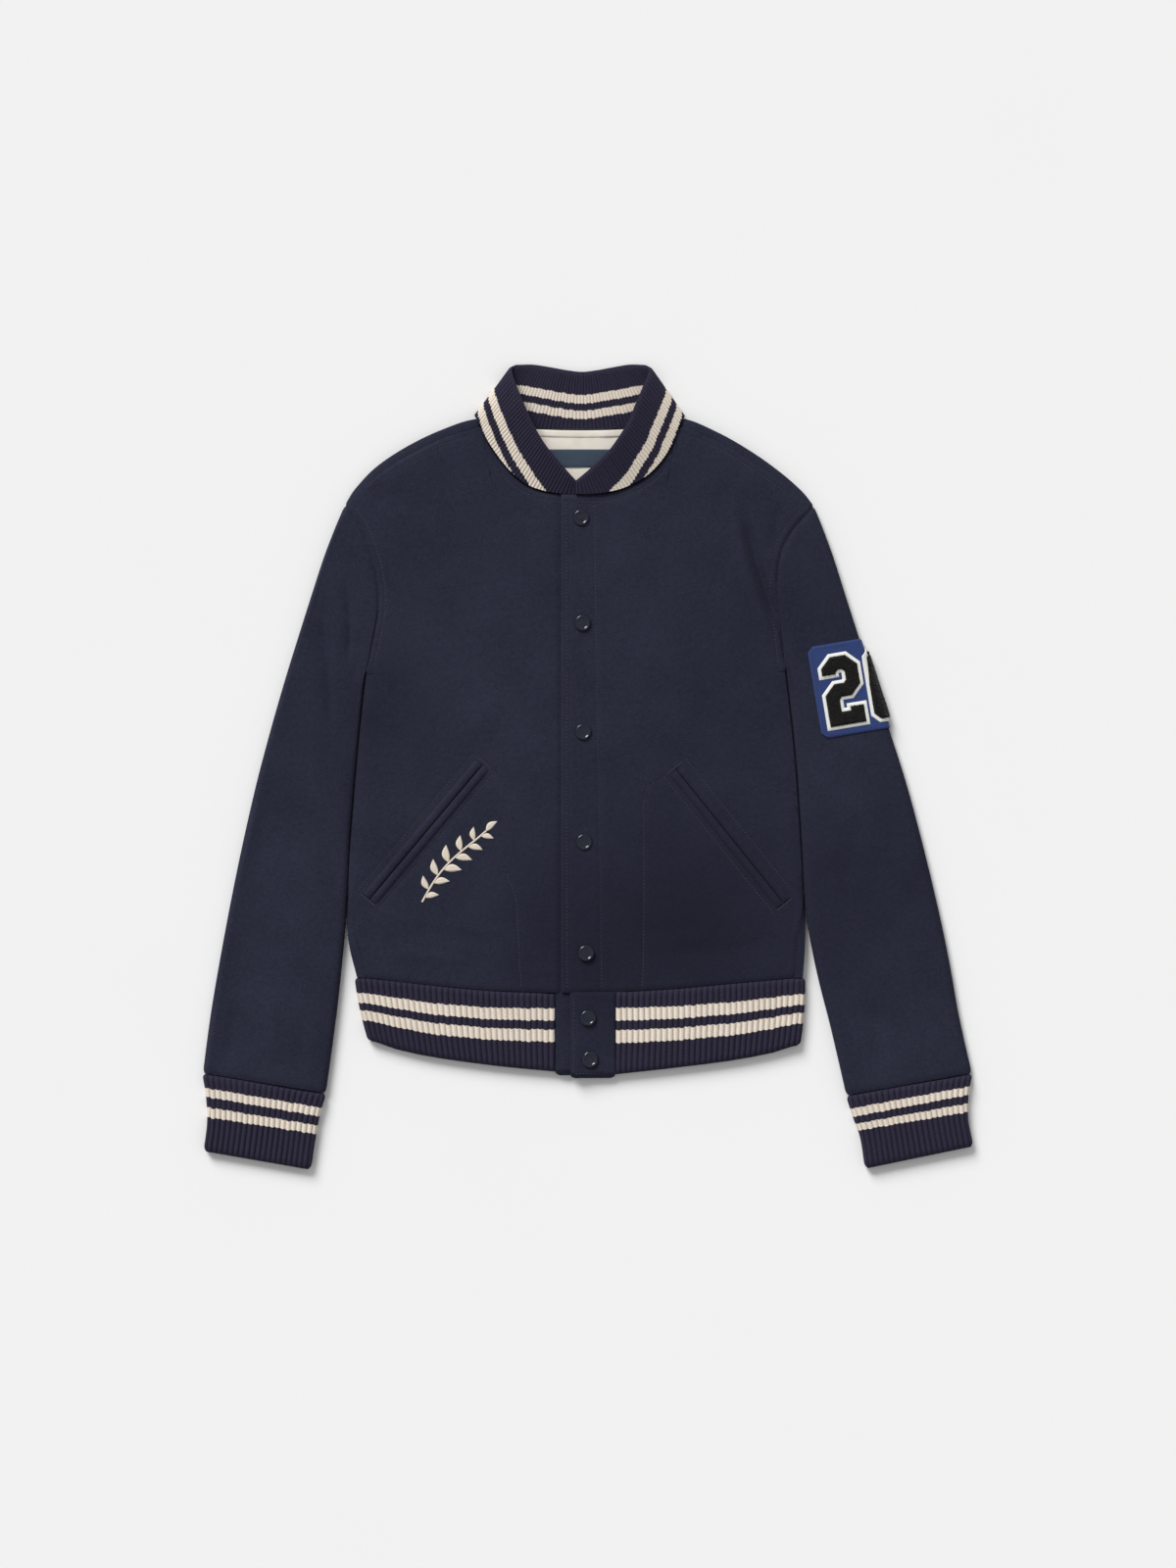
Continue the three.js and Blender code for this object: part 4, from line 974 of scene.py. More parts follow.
def build_panels():
    """Both fronts and the back, softened at their seams."""
    top, bottom = ("high", 1.2, 2.0, 6.5), ("low", 1.1, 1.8, 0)
    fronts = [
        ("right_front", RIGHT, UNDERLAP_EDGE, under_level, (0.25, 0.54), 0.112),
        ("left_front", LEFT, PLACKET_EDGE, over_level, (0.24, 0.54), 0.108),
    ]
    for name, half, front_x, level, flat, area in fronts:
        outer, inner = fine(*(front_grid(half, front_x, level, d) for d in (0, CLOTH)), FRONT_PITCH)
        arm = side_drop(half, outer[:, :1, 1])
        outer = softened(outer, inner, [top, bottom, ("first", arm, 2.2, 6.5), ("last", 1.5, 2.0, 5)])
        grooves = [(line, 0.4, 1.9) for line in STITCH_LINES[name]]
        start, end, _, _ = slit_axes(name.split("_")[0])
        grooves.append(([start, end], 1.5, 1.6))
        if half is RIGHT:
            grooves.append(([(PLACKET_EDGE - 0.8, -205), (PLACKET_EDGE - 0.8, 250)], 1.1, 1.7))
        for line, depth, reach in grooves:
            away = line_distance(outer[..., 0], outer[..., 1], line)
            outer[..., 2] -= depth * np.exp(-((away / reach) ** 2))
        obj = make(f"{name}_cloth", *wall_mesh(outer, inner), WOOL, "wool")
        cloth(name, flat, area)
    outer, inner = fine(back_grid(0), back_grid(CLOTH), 3.4)
    right, left = side_drop(RIGHT, outer[:, :1, 1]), side_drop(LEFT, outer[:, -1:, 1])
    outer = softened(outer, inner, [("first", right, 1.6, 0), ("last", left, 1.6, 0), ("high", 1.2, 2.0, 0)])
    outer[..., 2] = np.maximum(outer[..., 2], 0)
    obj = make("back_cloth", *wall_mesh(outer, inner), WOOL, "wool")
    cloth("back", (0.47, 0.56), 0.225)


def build_sleeves():
    for name, half, rows in (("right_sleeve", RIGHT, RIGHT_SLEEVE), ("left_sleeve", LEFT, LEFT_SLEEVE)):
        grids = (sleeve_grid(half, rows, d) for d in (0, CLOTH))
        outer, inner = fine(*grids, PANEL_PITCH, closed=True)
        arm = side_drop(half, outer[:1, :, 1])
        outer = softened(outer, inner, [("low", arm, 2.2, 0), ("high", 1.3, 2.2, 0)], closed=True)
        outer[..., 2] = np.maximum(outer[..., 2], 0)
        obj = make(f"{name}_cloth", *wall_mesh(outer, inner, True), WOOL, "wool")
        cloth(name, (0.31, 0.54), 0.108)


def rib_profile(number):
    """Height of a rib, 0 in the groove and 1 on its back, from its number and share."""
    across = np.abs((number % 1) * 2 - 1)
    return 1 - across**2


def rib_fade(share):
    """Ribs are pressed flat into the seam and round the folded edge."""
    return smooth(share, 0, 0.05) * (1 - 0.7 * smooth(share, 0.94, 1))


def cuff_grid(rows, ribs, depth, raised):
    """Rings of a cuff: a path from the underside up round one fold, across and down round the other,
    then the underside back. Returns points and their (rib number, millimetres)."""
    outers, inners = Curve(rows[:, :2]), Curve(rows[:, 2:])
    v = shares(RIB_ROWS)
    outer, inner = outers.point(v), inners.point(v)
    width = np.linalg.norm(outer - inner, axis=-1)[:, None]
    e = unit(outer - inner)
    total = width - 2 * EDGE + 4 * QUARTER_FOLD
    edge_ribs = 2 * QUARTER_FOLD / 5.6
    count = ribs + 2 * edge_ribs
    number = np.linspace(-edge_ribs, ribs + edge_ribs, round(count * RIB_COLUMNS))[None]
    q = (number + edge_ribs) / count * total
    sway = 0.10 * ripple(v[:, None] * 60, number * 4, 50, 21)
    height = RIB_RELIEF * rib_profile(number + sway) * rib_fade(v)[:, None] if raised else 0 * q
    ends = smooth(np.minimum(q, total - q), 2, 7)
    into = depth - (height - RIB_RELIEF * 0.55 * raised) * ends
    low, high = 2 * QUARTER_FOLD, total - 2 * QUARTER_FOLD
    first = rim(inner[:, None], e[:, None], np.minimum(q - QUARTER_FOLD, QUARTER_FOLD), into)
    last = rim(outer[:, None], -e[:, None], np.minimum(total - q - QUARTER_FOLD, QUARTER_FOLD), into)
    flat = inner[:, None] + e[:, None] * (q - low + EDGE)[..., None]
    flat = np.concatenate([flat[..., :2], (LAID - into)[..., None]], -1)
    top = np.where((q < low)[..., None], first[..., :3], np.where((q > high)[..., None], last[..., :3], flat))
    share = shares(9)[1:-1][None, ::-1]
    under = inner[:, None] + e[:, None] * lerp(EDGE, width - EDGE, share)[..., None]
    under[..., 2] = depth
    points = np.concatenate([top, under], 1)
    uv = np.stack(np.broadcast_arrays(number + sway, v[:, None] * RIB_LENGTH), -1)
    under_uv = np.stack(np.broadcast_arrays(lerp(0, ribs, share), v[:, None] * RIB_LENGTH), -1)
    return points, np.concatenate([uv, under_uv], 1)


CUFF_RIBS = 19


def build_cuffs():
    for name, rows, stripes in (
        ("right_cuff", RIGHT_CUFF, RIGHT_CUFF_STRIPES),
        ("left_cuff", LEFT_CUFF, LEFT_CUFF_STRIPES),
    ):
        outer, uv = cuff_grid(rows, CUFF_RIBS, 0, True)
        inner, _ = cuff_grid(rows, CUFF_RIBS, RIB_CLOTH, False)
        outer = softened(outer, inner, [("low", 1.2, 2.0, 0), ("high", 1.5, 1.6, 0)], closed=True)
        outer[..., 2] = np.maximum(outer[..., 2], 0)
        points, faces = wall_mesh(outer, inner, True)
        coordinates = np.concatenate([uv.reshape(-1, 2)] * 2)
        obj = make(f"{name}_knit", points, faces, rib_material(f"{name}_rib", stripes), "rib", coordinates)
        cloth(name, (0.225, 0.075), None)


HEM_RIBS = {"right": 33, "left": 32}
HEM_BULGE = 1.4
HEM_OPENING = 5


def hem_grid(depth, raised):
    """Rows of the hem band from the right front's tab round the back to the left front's tab."""
    v = shares(RIB_ROWS)
    halves = {
        "right": (Curve(HEM[:HEM_OPENING, :2] - (0, GAP / 2)), Curve(HEM[:HEM_OPENING, 2:])),
        "left": (Curve(HEM[HEM_OPENING:, :2] - (0, GAP / 2)), Curve(HEM[HEM_OPENING:, 2:])),
    }
    bulge = HEM_BULGE * 4 * v * (1 - v)
    fade = rib_fade(v)[:, None]

    def at(side, t):
        seam, edge = (c.at(t) for c in halves[side])
        return lerp(seam[None], edge[None], v[:, None, None])

    def lift(number):
        sway = 0.10 * ripple(v[:, None] * 60, number * 4, 50, 31)
        rib = RIB_RELIEF * (rib_profile(number[None] + sway) * fade - 0.55) if raised else 0 * sway
        return rib, np.stack(np.broadcast_arrays(number[None] + sway, v[:, None] * RIB_LENGTH), -1)

    def shifted(uv, x):
        shift = np.interp(np.abs(x), (25, 90, 140, 200), (0, 2.4, 3.8, 3.2))
        return np.stack([uv[..., 0], uv[..., 1] - shift], -1)

    def top(side, start, inset_from, inset_to):
        ribs = HEM_RIBS[side]
        f = shares(ribs * RIB_COLUMNS)
        p = at(side, 1 - f)
        p[..., 0] += lerp(np.asarray(inset_from)[..., None], np.asarray(inset_to)[..., None], f)
        rib, uv = lift(start + f * ribs)
        lie = relief(p[..., 0], p[..., 1]) * (1 - smooth(v, 0, 0.7))[:, None]
        edges = smooth(f, 0, 0.08) * smooth(1 - f, 0, 0.08)
        p[..., 2] = LAID - depth + rib + lie * edges
        return p, shifted(uv, p[..., 0])

    def fold(side, t, into, start, up):
        edge = at(side, np.array([t])) - np.array(into)[None, None] * bulge[:, None, None]
        paths = np.linspace(QUARTER_FOLD, -QUARTER_FOLD, 20) * (1 if up else -1)
        rib, uv = lift(start + shares(19) * (2 * QUARTER_FOLD / 5.5))
        strength = smooth(paths, -QUARTER_FOLD, 0)
        p = rim(edge, np.array(into, float), paths, depth - rib * strength)[..., :3]
        return p, shifted(uv, p[..., 0])

    def under(side, t):
        p = at(side, t)
        p[..., 2] = depth
        return p, np.stack(np.broadcast_arrays(t[None] * 33, v[:, None] * RIB_LENGTH), -1)

    right_ribs = HEM_RIBS["right"]
    wrap = 2 * QUARTER_FOLD / 5.5
    parts = [
        top("right", 0, np.full(len(v), GAP), EDGE - bulge),
        tuple(a[:, 1:] for a in fold("right", 0, (1, 0, 0), right_ribs, True)),
        under("right", np.linspace(0.15, 1, 8)),
        under("left", np.linspace(0, 0.85, 8)),
        fold("left", 1, (-1, 0, 0), -wrap, False),
        tuple(a[:, 1:] for a in top("left", 0, bulge - EDGE, np.full(len(v), -GAP))),
    ]
    return tuple(np.concatenate(column, 1) for column in zip(*parts))


def build_hem():
    outer, uv = hem_grid(0, True)
    inner, _ = hem_grid(RIB_CLOTH, False)
    outer = softened(outer, inner, [("low", 1.3, 2.0, 0), ("high", 1.6, 1.7, 0)])
    outer[..., 2] = np.maximum(outer[..., 2], 0)
    points, faces = wall_mesh(outer, inner)
    coordinates = np.concatenate([uv.reshape(-1, 2)] * 2)
    obj = make("hem_knit", points, faces, rib_material("hem_rib_knit", HEM_STRIPES), "rib", coordinates)
    cloth("hem_rib", (0.80, 0.075), None)


# Columns: from x, to x, top y, bottom y
TABS = {"left_hem_tab": (-16.5, 25.3, -206.3, -285.5), "right_hem_tab": (-30.3, 10, -206.6, -283)}


def build_tabs():
    """Wool ends of the fronts: flat, with rounded edges."""
    for name, (from_x, to_x, top, bottom) in TABS.items():
        level = over_level if name == "left_hem_tab" else under_level
        u, y = np.meshgrid(shares(30), lerp(bottom, top, shares(56)))
        above = np.maximum(4.5 - (y - bottom), 0)
        inset = 4.5 - np.sqrt(4.5**2 - above**2)
        waist = 0.5 * np.sin((y - bottom) / (top - bottom) * np.pi)
        x = lerp(from_x + inset + waist, to_x - inset - waist, u)
        z = level(x, y) + 0.12 * ripple(x, y, 30, 41) - 2.4 * (1 - smooth(y - bottom, 0, 6))
        outer = np.stack([x, y, z], -1)
        inner = outer - (0, 0, CLOTH)
        edges = [("low", 1.4, 1.6, 4.5), ("high", 0.6, 1.3, 0), ("first", 1.4, 1.8, 4), ("last", 1.2, 1.5, 4)]
        outer = softened(outer, inner, edges)
        obj = make(f"{name}_cloth", *wall_mesh(outer, inner), WOOL, "wool")
        cloth(name, ((to_x - from_x) * MM, (top - bottom) * MM), None)


# Columns: neck seam x, y, z, free edge x, y, z, and how closely the stripes follow the free edge,
# from the right front end round the back
COLLAR = np.array([
    (-11.4, 250.2, 8.6, -10.9, 262.2, 11.6, 0.72), (-26, 251, 9.2, -17, 268.6, 14, 0.73),
    (-41.4, 253.6, 9.4, -26.5, 279.4, 16, 0.75), (-55.2, 258.8, 9.5, -35.5, 290, 18, 0.8),
    (-68.4, 268.8, 9.5, -43.5, 301.5, 19, 0.845), (-81.4, 283.8, 9.6, -51, 315.5, 19.4, 0.88),
    (-92.6, 300.8, 9.8, -59.5, 334.5, 18.8, 0.89), (-98.8, 313.4, 9.6, -66.2, 351, 15.8, 0.88),
    (-102, 319, 7.8, -69.2, 360.2, 12.2, 0.88), (-102.6, 321.6, 5, -69.6, 365.4, 8.2, 0.89),
    (-100.6, 321.6, 3, -67, 368.4, 5, 0.91), (-96, 319.4, 2, -61, 369, 3.4, 0.94),
    (-80, 315.6, 2, -50, 369.1, 2.6, 0.96), (-55, 312.5, 2, -34, 366.6, 3, 0.985),
    (-30, 310.9, 2, -19, 363.9, 3.6, 1), (-6, 310.3, 2, -5.4, 362.4, 4, 1),
    (18, 310.8, 2, 8, 363.9, 3.6, 1), (42, 312.5, 2, 22.5, 366.6, 3, 0.985),
    (66, 315.4, 2, 37.5, 369.1, 2.6, 0.96), (81.5, 319.4, 2, 48, 369, 3.4, 0.94),
    (85.6, 321.2, 3, 53.4, 368.2, 5, 0.91), (87.4, 321.2, 5, 56, 365.2, 8.2, 0.89),
    (86.8, 318.6, 7.8, 55.2, 359.8, 12.2, 0.88), (83.6, 313, 9.6, 51.5, 351, 15.8, 0.88),
    (79, 299.8, 9.8, 44.5, 334.5, 18.8, 0.89), (67.6, 281.4, 9.6, 36, 314.5, 19.4, 0.88),
    (55.2, 268.3, 9.5, 28, 301.5, 19.2, 0.845), (41.1, 259.5, 9.6, 20, 290.5, 18.4, 0.8),
    (25.2, 253.6, 10.4, 9.5, 280.2, 17, 0.76), (7, 250.7, 11.4, -1, 270.3, 15.4, 0.74),
    (-11.7, 250, 12.2, -11.2, 262, 14, 0.72),
])
COLLAR_RIBS = 138
COLLAR_ROWS = 26


def build_collar():
    """Band between the neck seam and the free edge: its middle moved out to both sides by half of its
    thickness and its ribs, and rounded over at the free edge."""
    necks, frees = Curve(COLLAR[:, :3]), Curve(COLLAR[:, 3:6])
    t = shares(COLLAR_RIBS * 6)
    v = shares(COLLAR_ROWS)[:, None, None]

    def place(t):
        return lerp(necks.point(t)[None], frees.point(t)[None], v)

    step = 1e-3
    along = place(np.minimum(t + step, 1)) - place(np.maximum(t - step, 0))
    across = (frees.point(t) - necks.point(t))[None]
    normal = unit(np.cross(along, np.broadcast_to(across, along.shape)))
    band = np.linalg.norm(frees.point(t) - necks.point(t), axis=-1)[None]
    from_free = (1 - v[..., 0]) * band
    middles = (COLLAR[:, :3] + COLLAR[:, 3:6]) / 2
    runs = np.linalg.norm(np.diff(middles, axis=0), axis=-1)
    number = np.interp(t * (len(COLLAR) - 1), np.arange(len(COLLAR)), np.append(0, np.cumsum(runs)))[None]
    number = number / runs.sum() * COLLAR_RIBS
    follow = np.interp(t * (len(COLLAR) - 1), np.arange(len(COLLAR)), COLLAR[:, 6])[None]
    round_over = np.sqrt(np.clip(1 - (1 - np.minimum(from_free / 2.4, 1)) ** 2, 0.04, 1))
    rib = 0.75 * rib_profile(number + 0 * from_free) * smooth(from_free, 0.5, 4)
    seam = 0.55 + 0.45 * smooth(from_free, 0, 1)
    faces = []
    for side in (1, -1):
        half = (RIB_CLOTH / 2 - 0.3 + rib) * round_over * seam
        p = place(t) + side * normal * half[..., None]
        p[..., 2] = np.maximum(p[..., 2], 0)
        faces.append(p)
    uv = np.stack(np.broadcast_arrays(number, from_free * follow), -1).reshape(-1, 2)
    points, quads = wall_mesh(*faces)
    material = rib_material("collar_rib", COLLAR_STRIPES)
    obj = make("collar_knit", points, quads, material, "rib", np.concatenate([uv, uv]))
    cloth("collar", (0.50, 0.055), 0.020)


LINING_HEIGHT = 1
TRIM_HEIGHT = 0.7
LINING_TOP = CLOTH + SEAT + LINING_HEIGHT
# Columns: y, least x, greatest x, dip at both ends
LINING = np.array([
    (253.5, -34, 12, 0), (262, -56, 40, 0), (276, -70, 57, 0), (292, -80, 67, 0), (308.6, -56, 44, 1.6),
])
TAPE = np.array([(302.6, -56, 44, 1.6), (308.4, -56, 44, 1.6)])
LABEL = np.array([(274.9, -49.5, 36.5, 0), (291.2, -49.5, 36.5, 0)])


def flat_grid(rows, steps, columns, z):
    """Level grid between rows of (y, least x, greatest x, dip), straight from row to row."""
    at = shares(steps) * (len(rows) - 1)
    y, low, high, dip = (np.interp(at, np.arange(len(rows)), rows[:, k])[:, None] for k in range(4))
    u = shares(columns)[None]
    x = lerp(low, high, u)
    return np.stack(np.broadcast_arrays(x, y + dip * (2 * u - 1) ** 2, z), -1)


def build_neck():
    """Lining, tape and bare label inside the back of the neck."""
    low = CLOTH + SEAT
    pieces = [
        ("neck_lining", LINING, 60, 90, low, LINING_HEIGHT, SATIN, "lining", (0.147, 0.057)),
        ("neck_tape", TAPE, 8, 80, LINING_TOP + SEAT, TRIM_HEIGHT, SATIN, "lining", (0.1, 0.0072)),
        ("label", LABEL, 16, 80, LINING_TOP + SEAT, TRIM_HEIGHT, WOVEN, "label", (0.086, 0.0163)),
    ]
    for name, rows, steps, columns, z, height, material, slot, flat in pieces:
        inner = flat_grid(rows, steps, columns, z)
        outer = inner + (0, 0, height)
        wave = 0.35 * ripple(outer[..., 0], outer[..., 1] * 0.5, 26, 51) if name == "neck_lining" else 0
        outer[..., 2] += np.minimum(wave, 0.1)
        outer = softened(outer, inner, [(edge, 0.3, 0.7, 0) for edge in ("low", "high", "first", "last")])
        obj = make(f"{name}_piece", *wall_mesh(outer, inner), material, slot)
        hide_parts(name)


def front_height(panel, x, y):
    """Top of a front or sleeve at a place on its plain stretch."""
    level = {"left_front": over_level, "right_front": under_level, "left_hem_tab": over_level}.get(panel)
    base = level(x, y) if level else LAID
    return base + relief(x, y)


def build_pockets():
    """Two rolled welts along each slit; the worked bars across its ends are sewn with the topstitching."""
    for side, (from_x, from_y, to_x, to_y, outward_sign) in SLITS.items():
        slit = np.array([to_x - from_x, to_y - from_y, 0.0])
        length = np.linalg.norm(slit)
        along = unit(slit)
        off = turned(along, -outward_sign)
        start = np.array([from_x, from_y, 0.0])
        for name, sign in (("outer", 1), ("inner", -1)):
            a = lerp(-1, length + 1, shares(90))[:, None]
            u = shares(14)[None]
            b = sign * lerp(0.45, WELT_WIDTH, u)
            roll = np.clip(1 - np.abs(2 * u - 0.9) ** 2.4, 0, 1) ** 0.6
            ends = smooth(np.minimum(a + 1, length + 1 - a), 0, 5)
            p = start + along * a[..., None] + off * b[..., None]
            seat = front_height(f"{side}_front", p[..., 0], p[..., 1])
            wave = 1 + 0.12 * ripple(a * 1.0, b, 22, 61)
            rise = 0.12 + WELT_HEIGHT * (0.35 + 0.65 * roll * wave) * (0.45 + 0.55 * ends)
            outer, inner = p.copy(), p.copy()
            outer[..., 2] = seat + rise * (0.35 + 0.65 * roll)
            inner[..., 2] = seat - 0.3
            node = f"{side}_pocket_{name}_welt"
            obj = make(f"{node}_cloth", *wall_mesh(outer, inner), WOOL, "wool")
            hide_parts(node)


# Columns: x, y and the panel it is on
SNAPS = [
    (-6.3, 228.2, "left_front"), (-5, 131.8, "left_front"), (-4.5, 32, "left_front"),
    (-3.6, -68.9, "left_front"), (-1.8, -170.6, "left_front"),
    (0, -230, "left_hem_tab"), (1.8, -267.8, "left_hem_tab"),
]
# Columns: radius in diameters, height in snap heights
CAP = [
    (0, 0), (0.44, 0), (0.485, 0.1), (0.5, 0.32), (0.493, 0.52), (0.472, 0.74), (0.445, 0.9), (0.415, 0.98),
    (0.385, 1.0), (0.36, 0.94), (0.335, 0.8), (0.31, 0.64), (0.27, 0.56), (0.2, 0.55), (0.12, 0.6), (0, 0.62),
]


def lathe(profile, sides):
    """Points and faces of a profile of (radius, height) turned about Z, from axis to axis."""
    radii, heights = np.array(profile, float).T
    turn = np.linspace(0, 2 * np.pi, sides, endpoint=False)
    ring = np.stack([np.cos(turn), np.sin(turn)], -1)
    body = [np.column_stack([ring * r, np.full(sides, h)]) for r, h in zip(radii[1:-1], heights[1:-1])]
    points = np.concatenate([*body, [[0, 0, heights[0]], [0, 0, heights[-1]]]])
    k = np.arange(sides)
    faces = []
    for row in range(len(body) - 1):
        a, b = row * sides + k, row * sides + (k + 1) % sides
        faces += np.stack([a, b, b + sides, a + sides], -1).tolist()
    last = (len(body) - 1) * sides
    faces += [[(i + 1) % sides, i, len(points) - 2] for i in range(sides)]
    faces += [[last + i, last + (i + 1) % sides, len(points) - 1] for i in range(sides)]
    return points, faces


def build_snaps():
    for k, (x, y, panel) in enumerate(SNAPS):
        points, faces = lathe([(r * SNAP_DIAMETER, h * SNAP_HEIGHT) for r, h in CAP], 56)
        reach = SNAP_DIAMETER / 2
        west, east = (front_height(panel, x + dx, y) for dx in (-reach, reach))
        up = Vector((float(west - east), 0, SNAP_DIAMETER)).normalized()
        turn = np.array(Vector((0, 0, 1)).rotation_difference(up).to_matrix())
        low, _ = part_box(f"snap_{k + 1}")
        lift = float(low[2] / MM) + abs(up.x) * reach * 0.96
        obj = make(f"snap_{k + 1}_cap", points @ turn.T + (x, y, lift), faces, ENAMEL, "snap", sharp=70)
        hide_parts(f"snap_{k + 1}")


# Number patch on the left sleeve
PATCH_CORNER = np.array([214.6, 25.4])
PATCH_HEIGHT = 85
PATCH_CHAMFER = 5
SLEEVE_EDGE = Curve(LEFT_SLEEVE[:, :2])


def patch_point(a, b, height):
    """Place on the patch carried to the sleeve and round its folded edge."""
    a, b = np.broadcast_arrays(np.asarray(a, float), np.asarray(b, float))
    x = PATCH_CORNER[0] + a * np.cos(DIGIT_TILT) - b * np.sin(DIGIT_TILT)
    y = PATCH_CORNER[1] + a * np.sin(DIGIT_TILT) + b * np.cos(DIGIT_TILT)
    t = np.linspace(0, 1, 241)
    line = SLEEVE_EDGE.point(t)
    flat = np.stack([x.ravel(), y.ravel()], -1)
    near = np.argmin(np.linalg.norm(flat[:, None] - line[None, :, :2], axis=-1), axis=1)
    into = turned(SLEEVE_EDGE.heading(t[near]), -1)
    inset = np.sum((flat - line[near, :2]) * into[:, :2], -1)
    foot = np.column_stack([flat - into[:, :2] * inset[:, None], np.zeros(len(flat))])
    points = rim(foot, into, QUARTER_FOLD + inset - EDGE, -np.broadcast_to(height, x.shape).ravel())
    top = points[:, :3]
    top[:, 2] += points[:, 3] * relief(top[:, 0], top[:, 1])
    return top.reshape(*x.shape, 3), (inset - EDGE).reshape(x.shape)


def fold_start(b):
    a = np.full(np.shape(b), 40.0)
    for _ in range(6):
        a = a + patch_point(a, b, 0.0)[1]
    return a


def folded_grid(left, low, high, chamfer, turn, rows, columns):
    """Rows up a piece that goes round the fold: from its cut left edge to this share of the fold."""
    b = lerp(low, high, shares(rows))
    start = left + np.maximum(0, np.maximum(b - high + chamfer, low + chamfer - b))
    fold = fold_start(b)
    end = fold + turn * QUARTER_FOLD
    start = np.minimum(start, end - 3)
    return np.broadcast_arrays(lerp(start[:, None], end[:, None], shares(columns)), b[:, None])


def rounded_top(grid_a, grid_b, low, high, dome, reach=1.5):
    """Both faces of a piece on the patch, its top rounded down at its edges."""
    inner, _ = patch_point(grid_a, grid_b, low)
    d = np.min([from_edge(inner, edge) for edge in ("low", "high", "first", "last")], axis=0)
    edge = np.sqrt(np.clip(1 - (1 - np.minimum(d / reach, 1)) ** 2, 0, 1))
    outer, _ = patch_point(grid_a, grid_b, lerp(low + 0.25, high + dome, edge))
    return outer, inner


TWO = [
    (0, 41), (0, 45), (6, 51), (15, 51), (21, 45), (21, 32), (15, 26), (6, 26), (0, 20), (0, 0), (21, 0),
    (21, 10),
]
DIGIT_CORNER = np.array([15.5, 15.5])
DIGIT_STEP = 41.5
DIGIT_HEIGHT = 51


def stroke_grid(path, half, extend, pitch, across):
    """Stroke of even width along straight runs with mitred corners: a and b on the patch."""
    points = np.array(path, float)
    heads = unit(np.diff(points, axis=0))
    points[0] -= heads[0] * extend
    points[-1] += heads[-1] * extend
    before = np.vstack([heads[:1], heads])
    after = np.vstack([heads, heads[-1:]])
    mean = unit(before + after)
    stretch = 1 / np.maximum(np.sum(before * mean, -1), 0.5)
    sides = np.column_stack([-mean[:, 1], mean[:, 0]]) * (half * stretch)[:, None]
    rows = []
    for i in range(len(points) - 1):
        steps = max(1, round(float(np.linalg.norm(points[i + 1] - points[i])) / pitch))
        f = shares(steps)[(0 if i == 0 else 1):, None]
        middle, side = lerp(points[i], points[i + 1], f), lerp(sides[i], sides[i + 1], f)
        rows.append(middle[:, None] + side[:, None] * (2 * shares(across) - 1)[None, :, None])
    grid = np.concatenate(rows)
    return grid[..., 0], grid[..., 1]


def piled(outer, inner):
    """Chenille: loops about 2 mm apart stand up out of the face."""
    n = outward(outer, inner)
    x, y, z = outer[..., 0], outer[..., 1], outer[..., 2]
    loops = np.abs(ripple(x + z, y, 3.4, 71)) + 0.5 * np.abs(ripple(x, y + z, 2.2, 72))
    return outer + n * (0.6 * loops - 0.3)[..., None]


def build_patch():
    """Felt backing, and two block numerals of felt edging and chenille. The second is mostly round the
    fold."""
    a, b = folded_grid(0, 0, PATCH_HEIGHT, PATCH_CHAMFER, 1.96, 70, 76)
    outer, inner = rounded_top(a, b, PATCH_SEAT, PATCH_SEAT + PATCH_FELT, 0, 0.9)
    for g in (outer, inner):
        g[..., 2] = np.maximum(g[..., 2], 0.25)
    obj = make("patch_backing", *wall_mesh(outer, inner), BLUE_FELT, "felt")
    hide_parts("patch_felt")
    edging = PATCH_SEAT + PATCH_FELT + SEAT
    pile = edging + EDGE_FELT + SEAT
    half = STROKE / 2
    two = np.array(TWO, float) + DIGIT_CORNER
    left = DIGIT_CORNER[0] + DIGIT_STEP - half
    low, high = DIGIT_CORNER[1] - half, DIGIT_CORNER[1] + DIGIT_HEIGHT + half
    grids = {
        "two_edging": stroke_grid(two, half + STROKE_EDGE, STROKE_EDGE, 1.6, 14),
        "two_chenille": stroke_grid(two, half, 0, 0.8, 18),
        "six_edging": folded_grid(left - STROKE_EDGE, low - STROKE_EDGE, high + STROKE_EDGE, 7, 1.3, 72, 16),
        "six_chenille": folded_grid(left, low, high, 6, 1.3, 90, 24),
    }
    for name, (a, b) in grids.items():
        if name.endswith("edging"):
            outer, inner = rounded_top(a, b, edging - SEAT, edging + EDGE_FELT, 0, 0.8)
            material = WHITE_FELT
        else:
            outer, inner = rounded_top(a, b, pile - SEAT, pile + CHENILLE - 0.5, 0.5, 3.2)
            outer = piled(outer, inner)
            material = PILE
        outer[..., 2] = np.maximum(outer[..., 2], 0.3)
        obj = make(f"{name}_piece", *wall_mesh(outer, inner), material, name.split("_")[1])
        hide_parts(name)


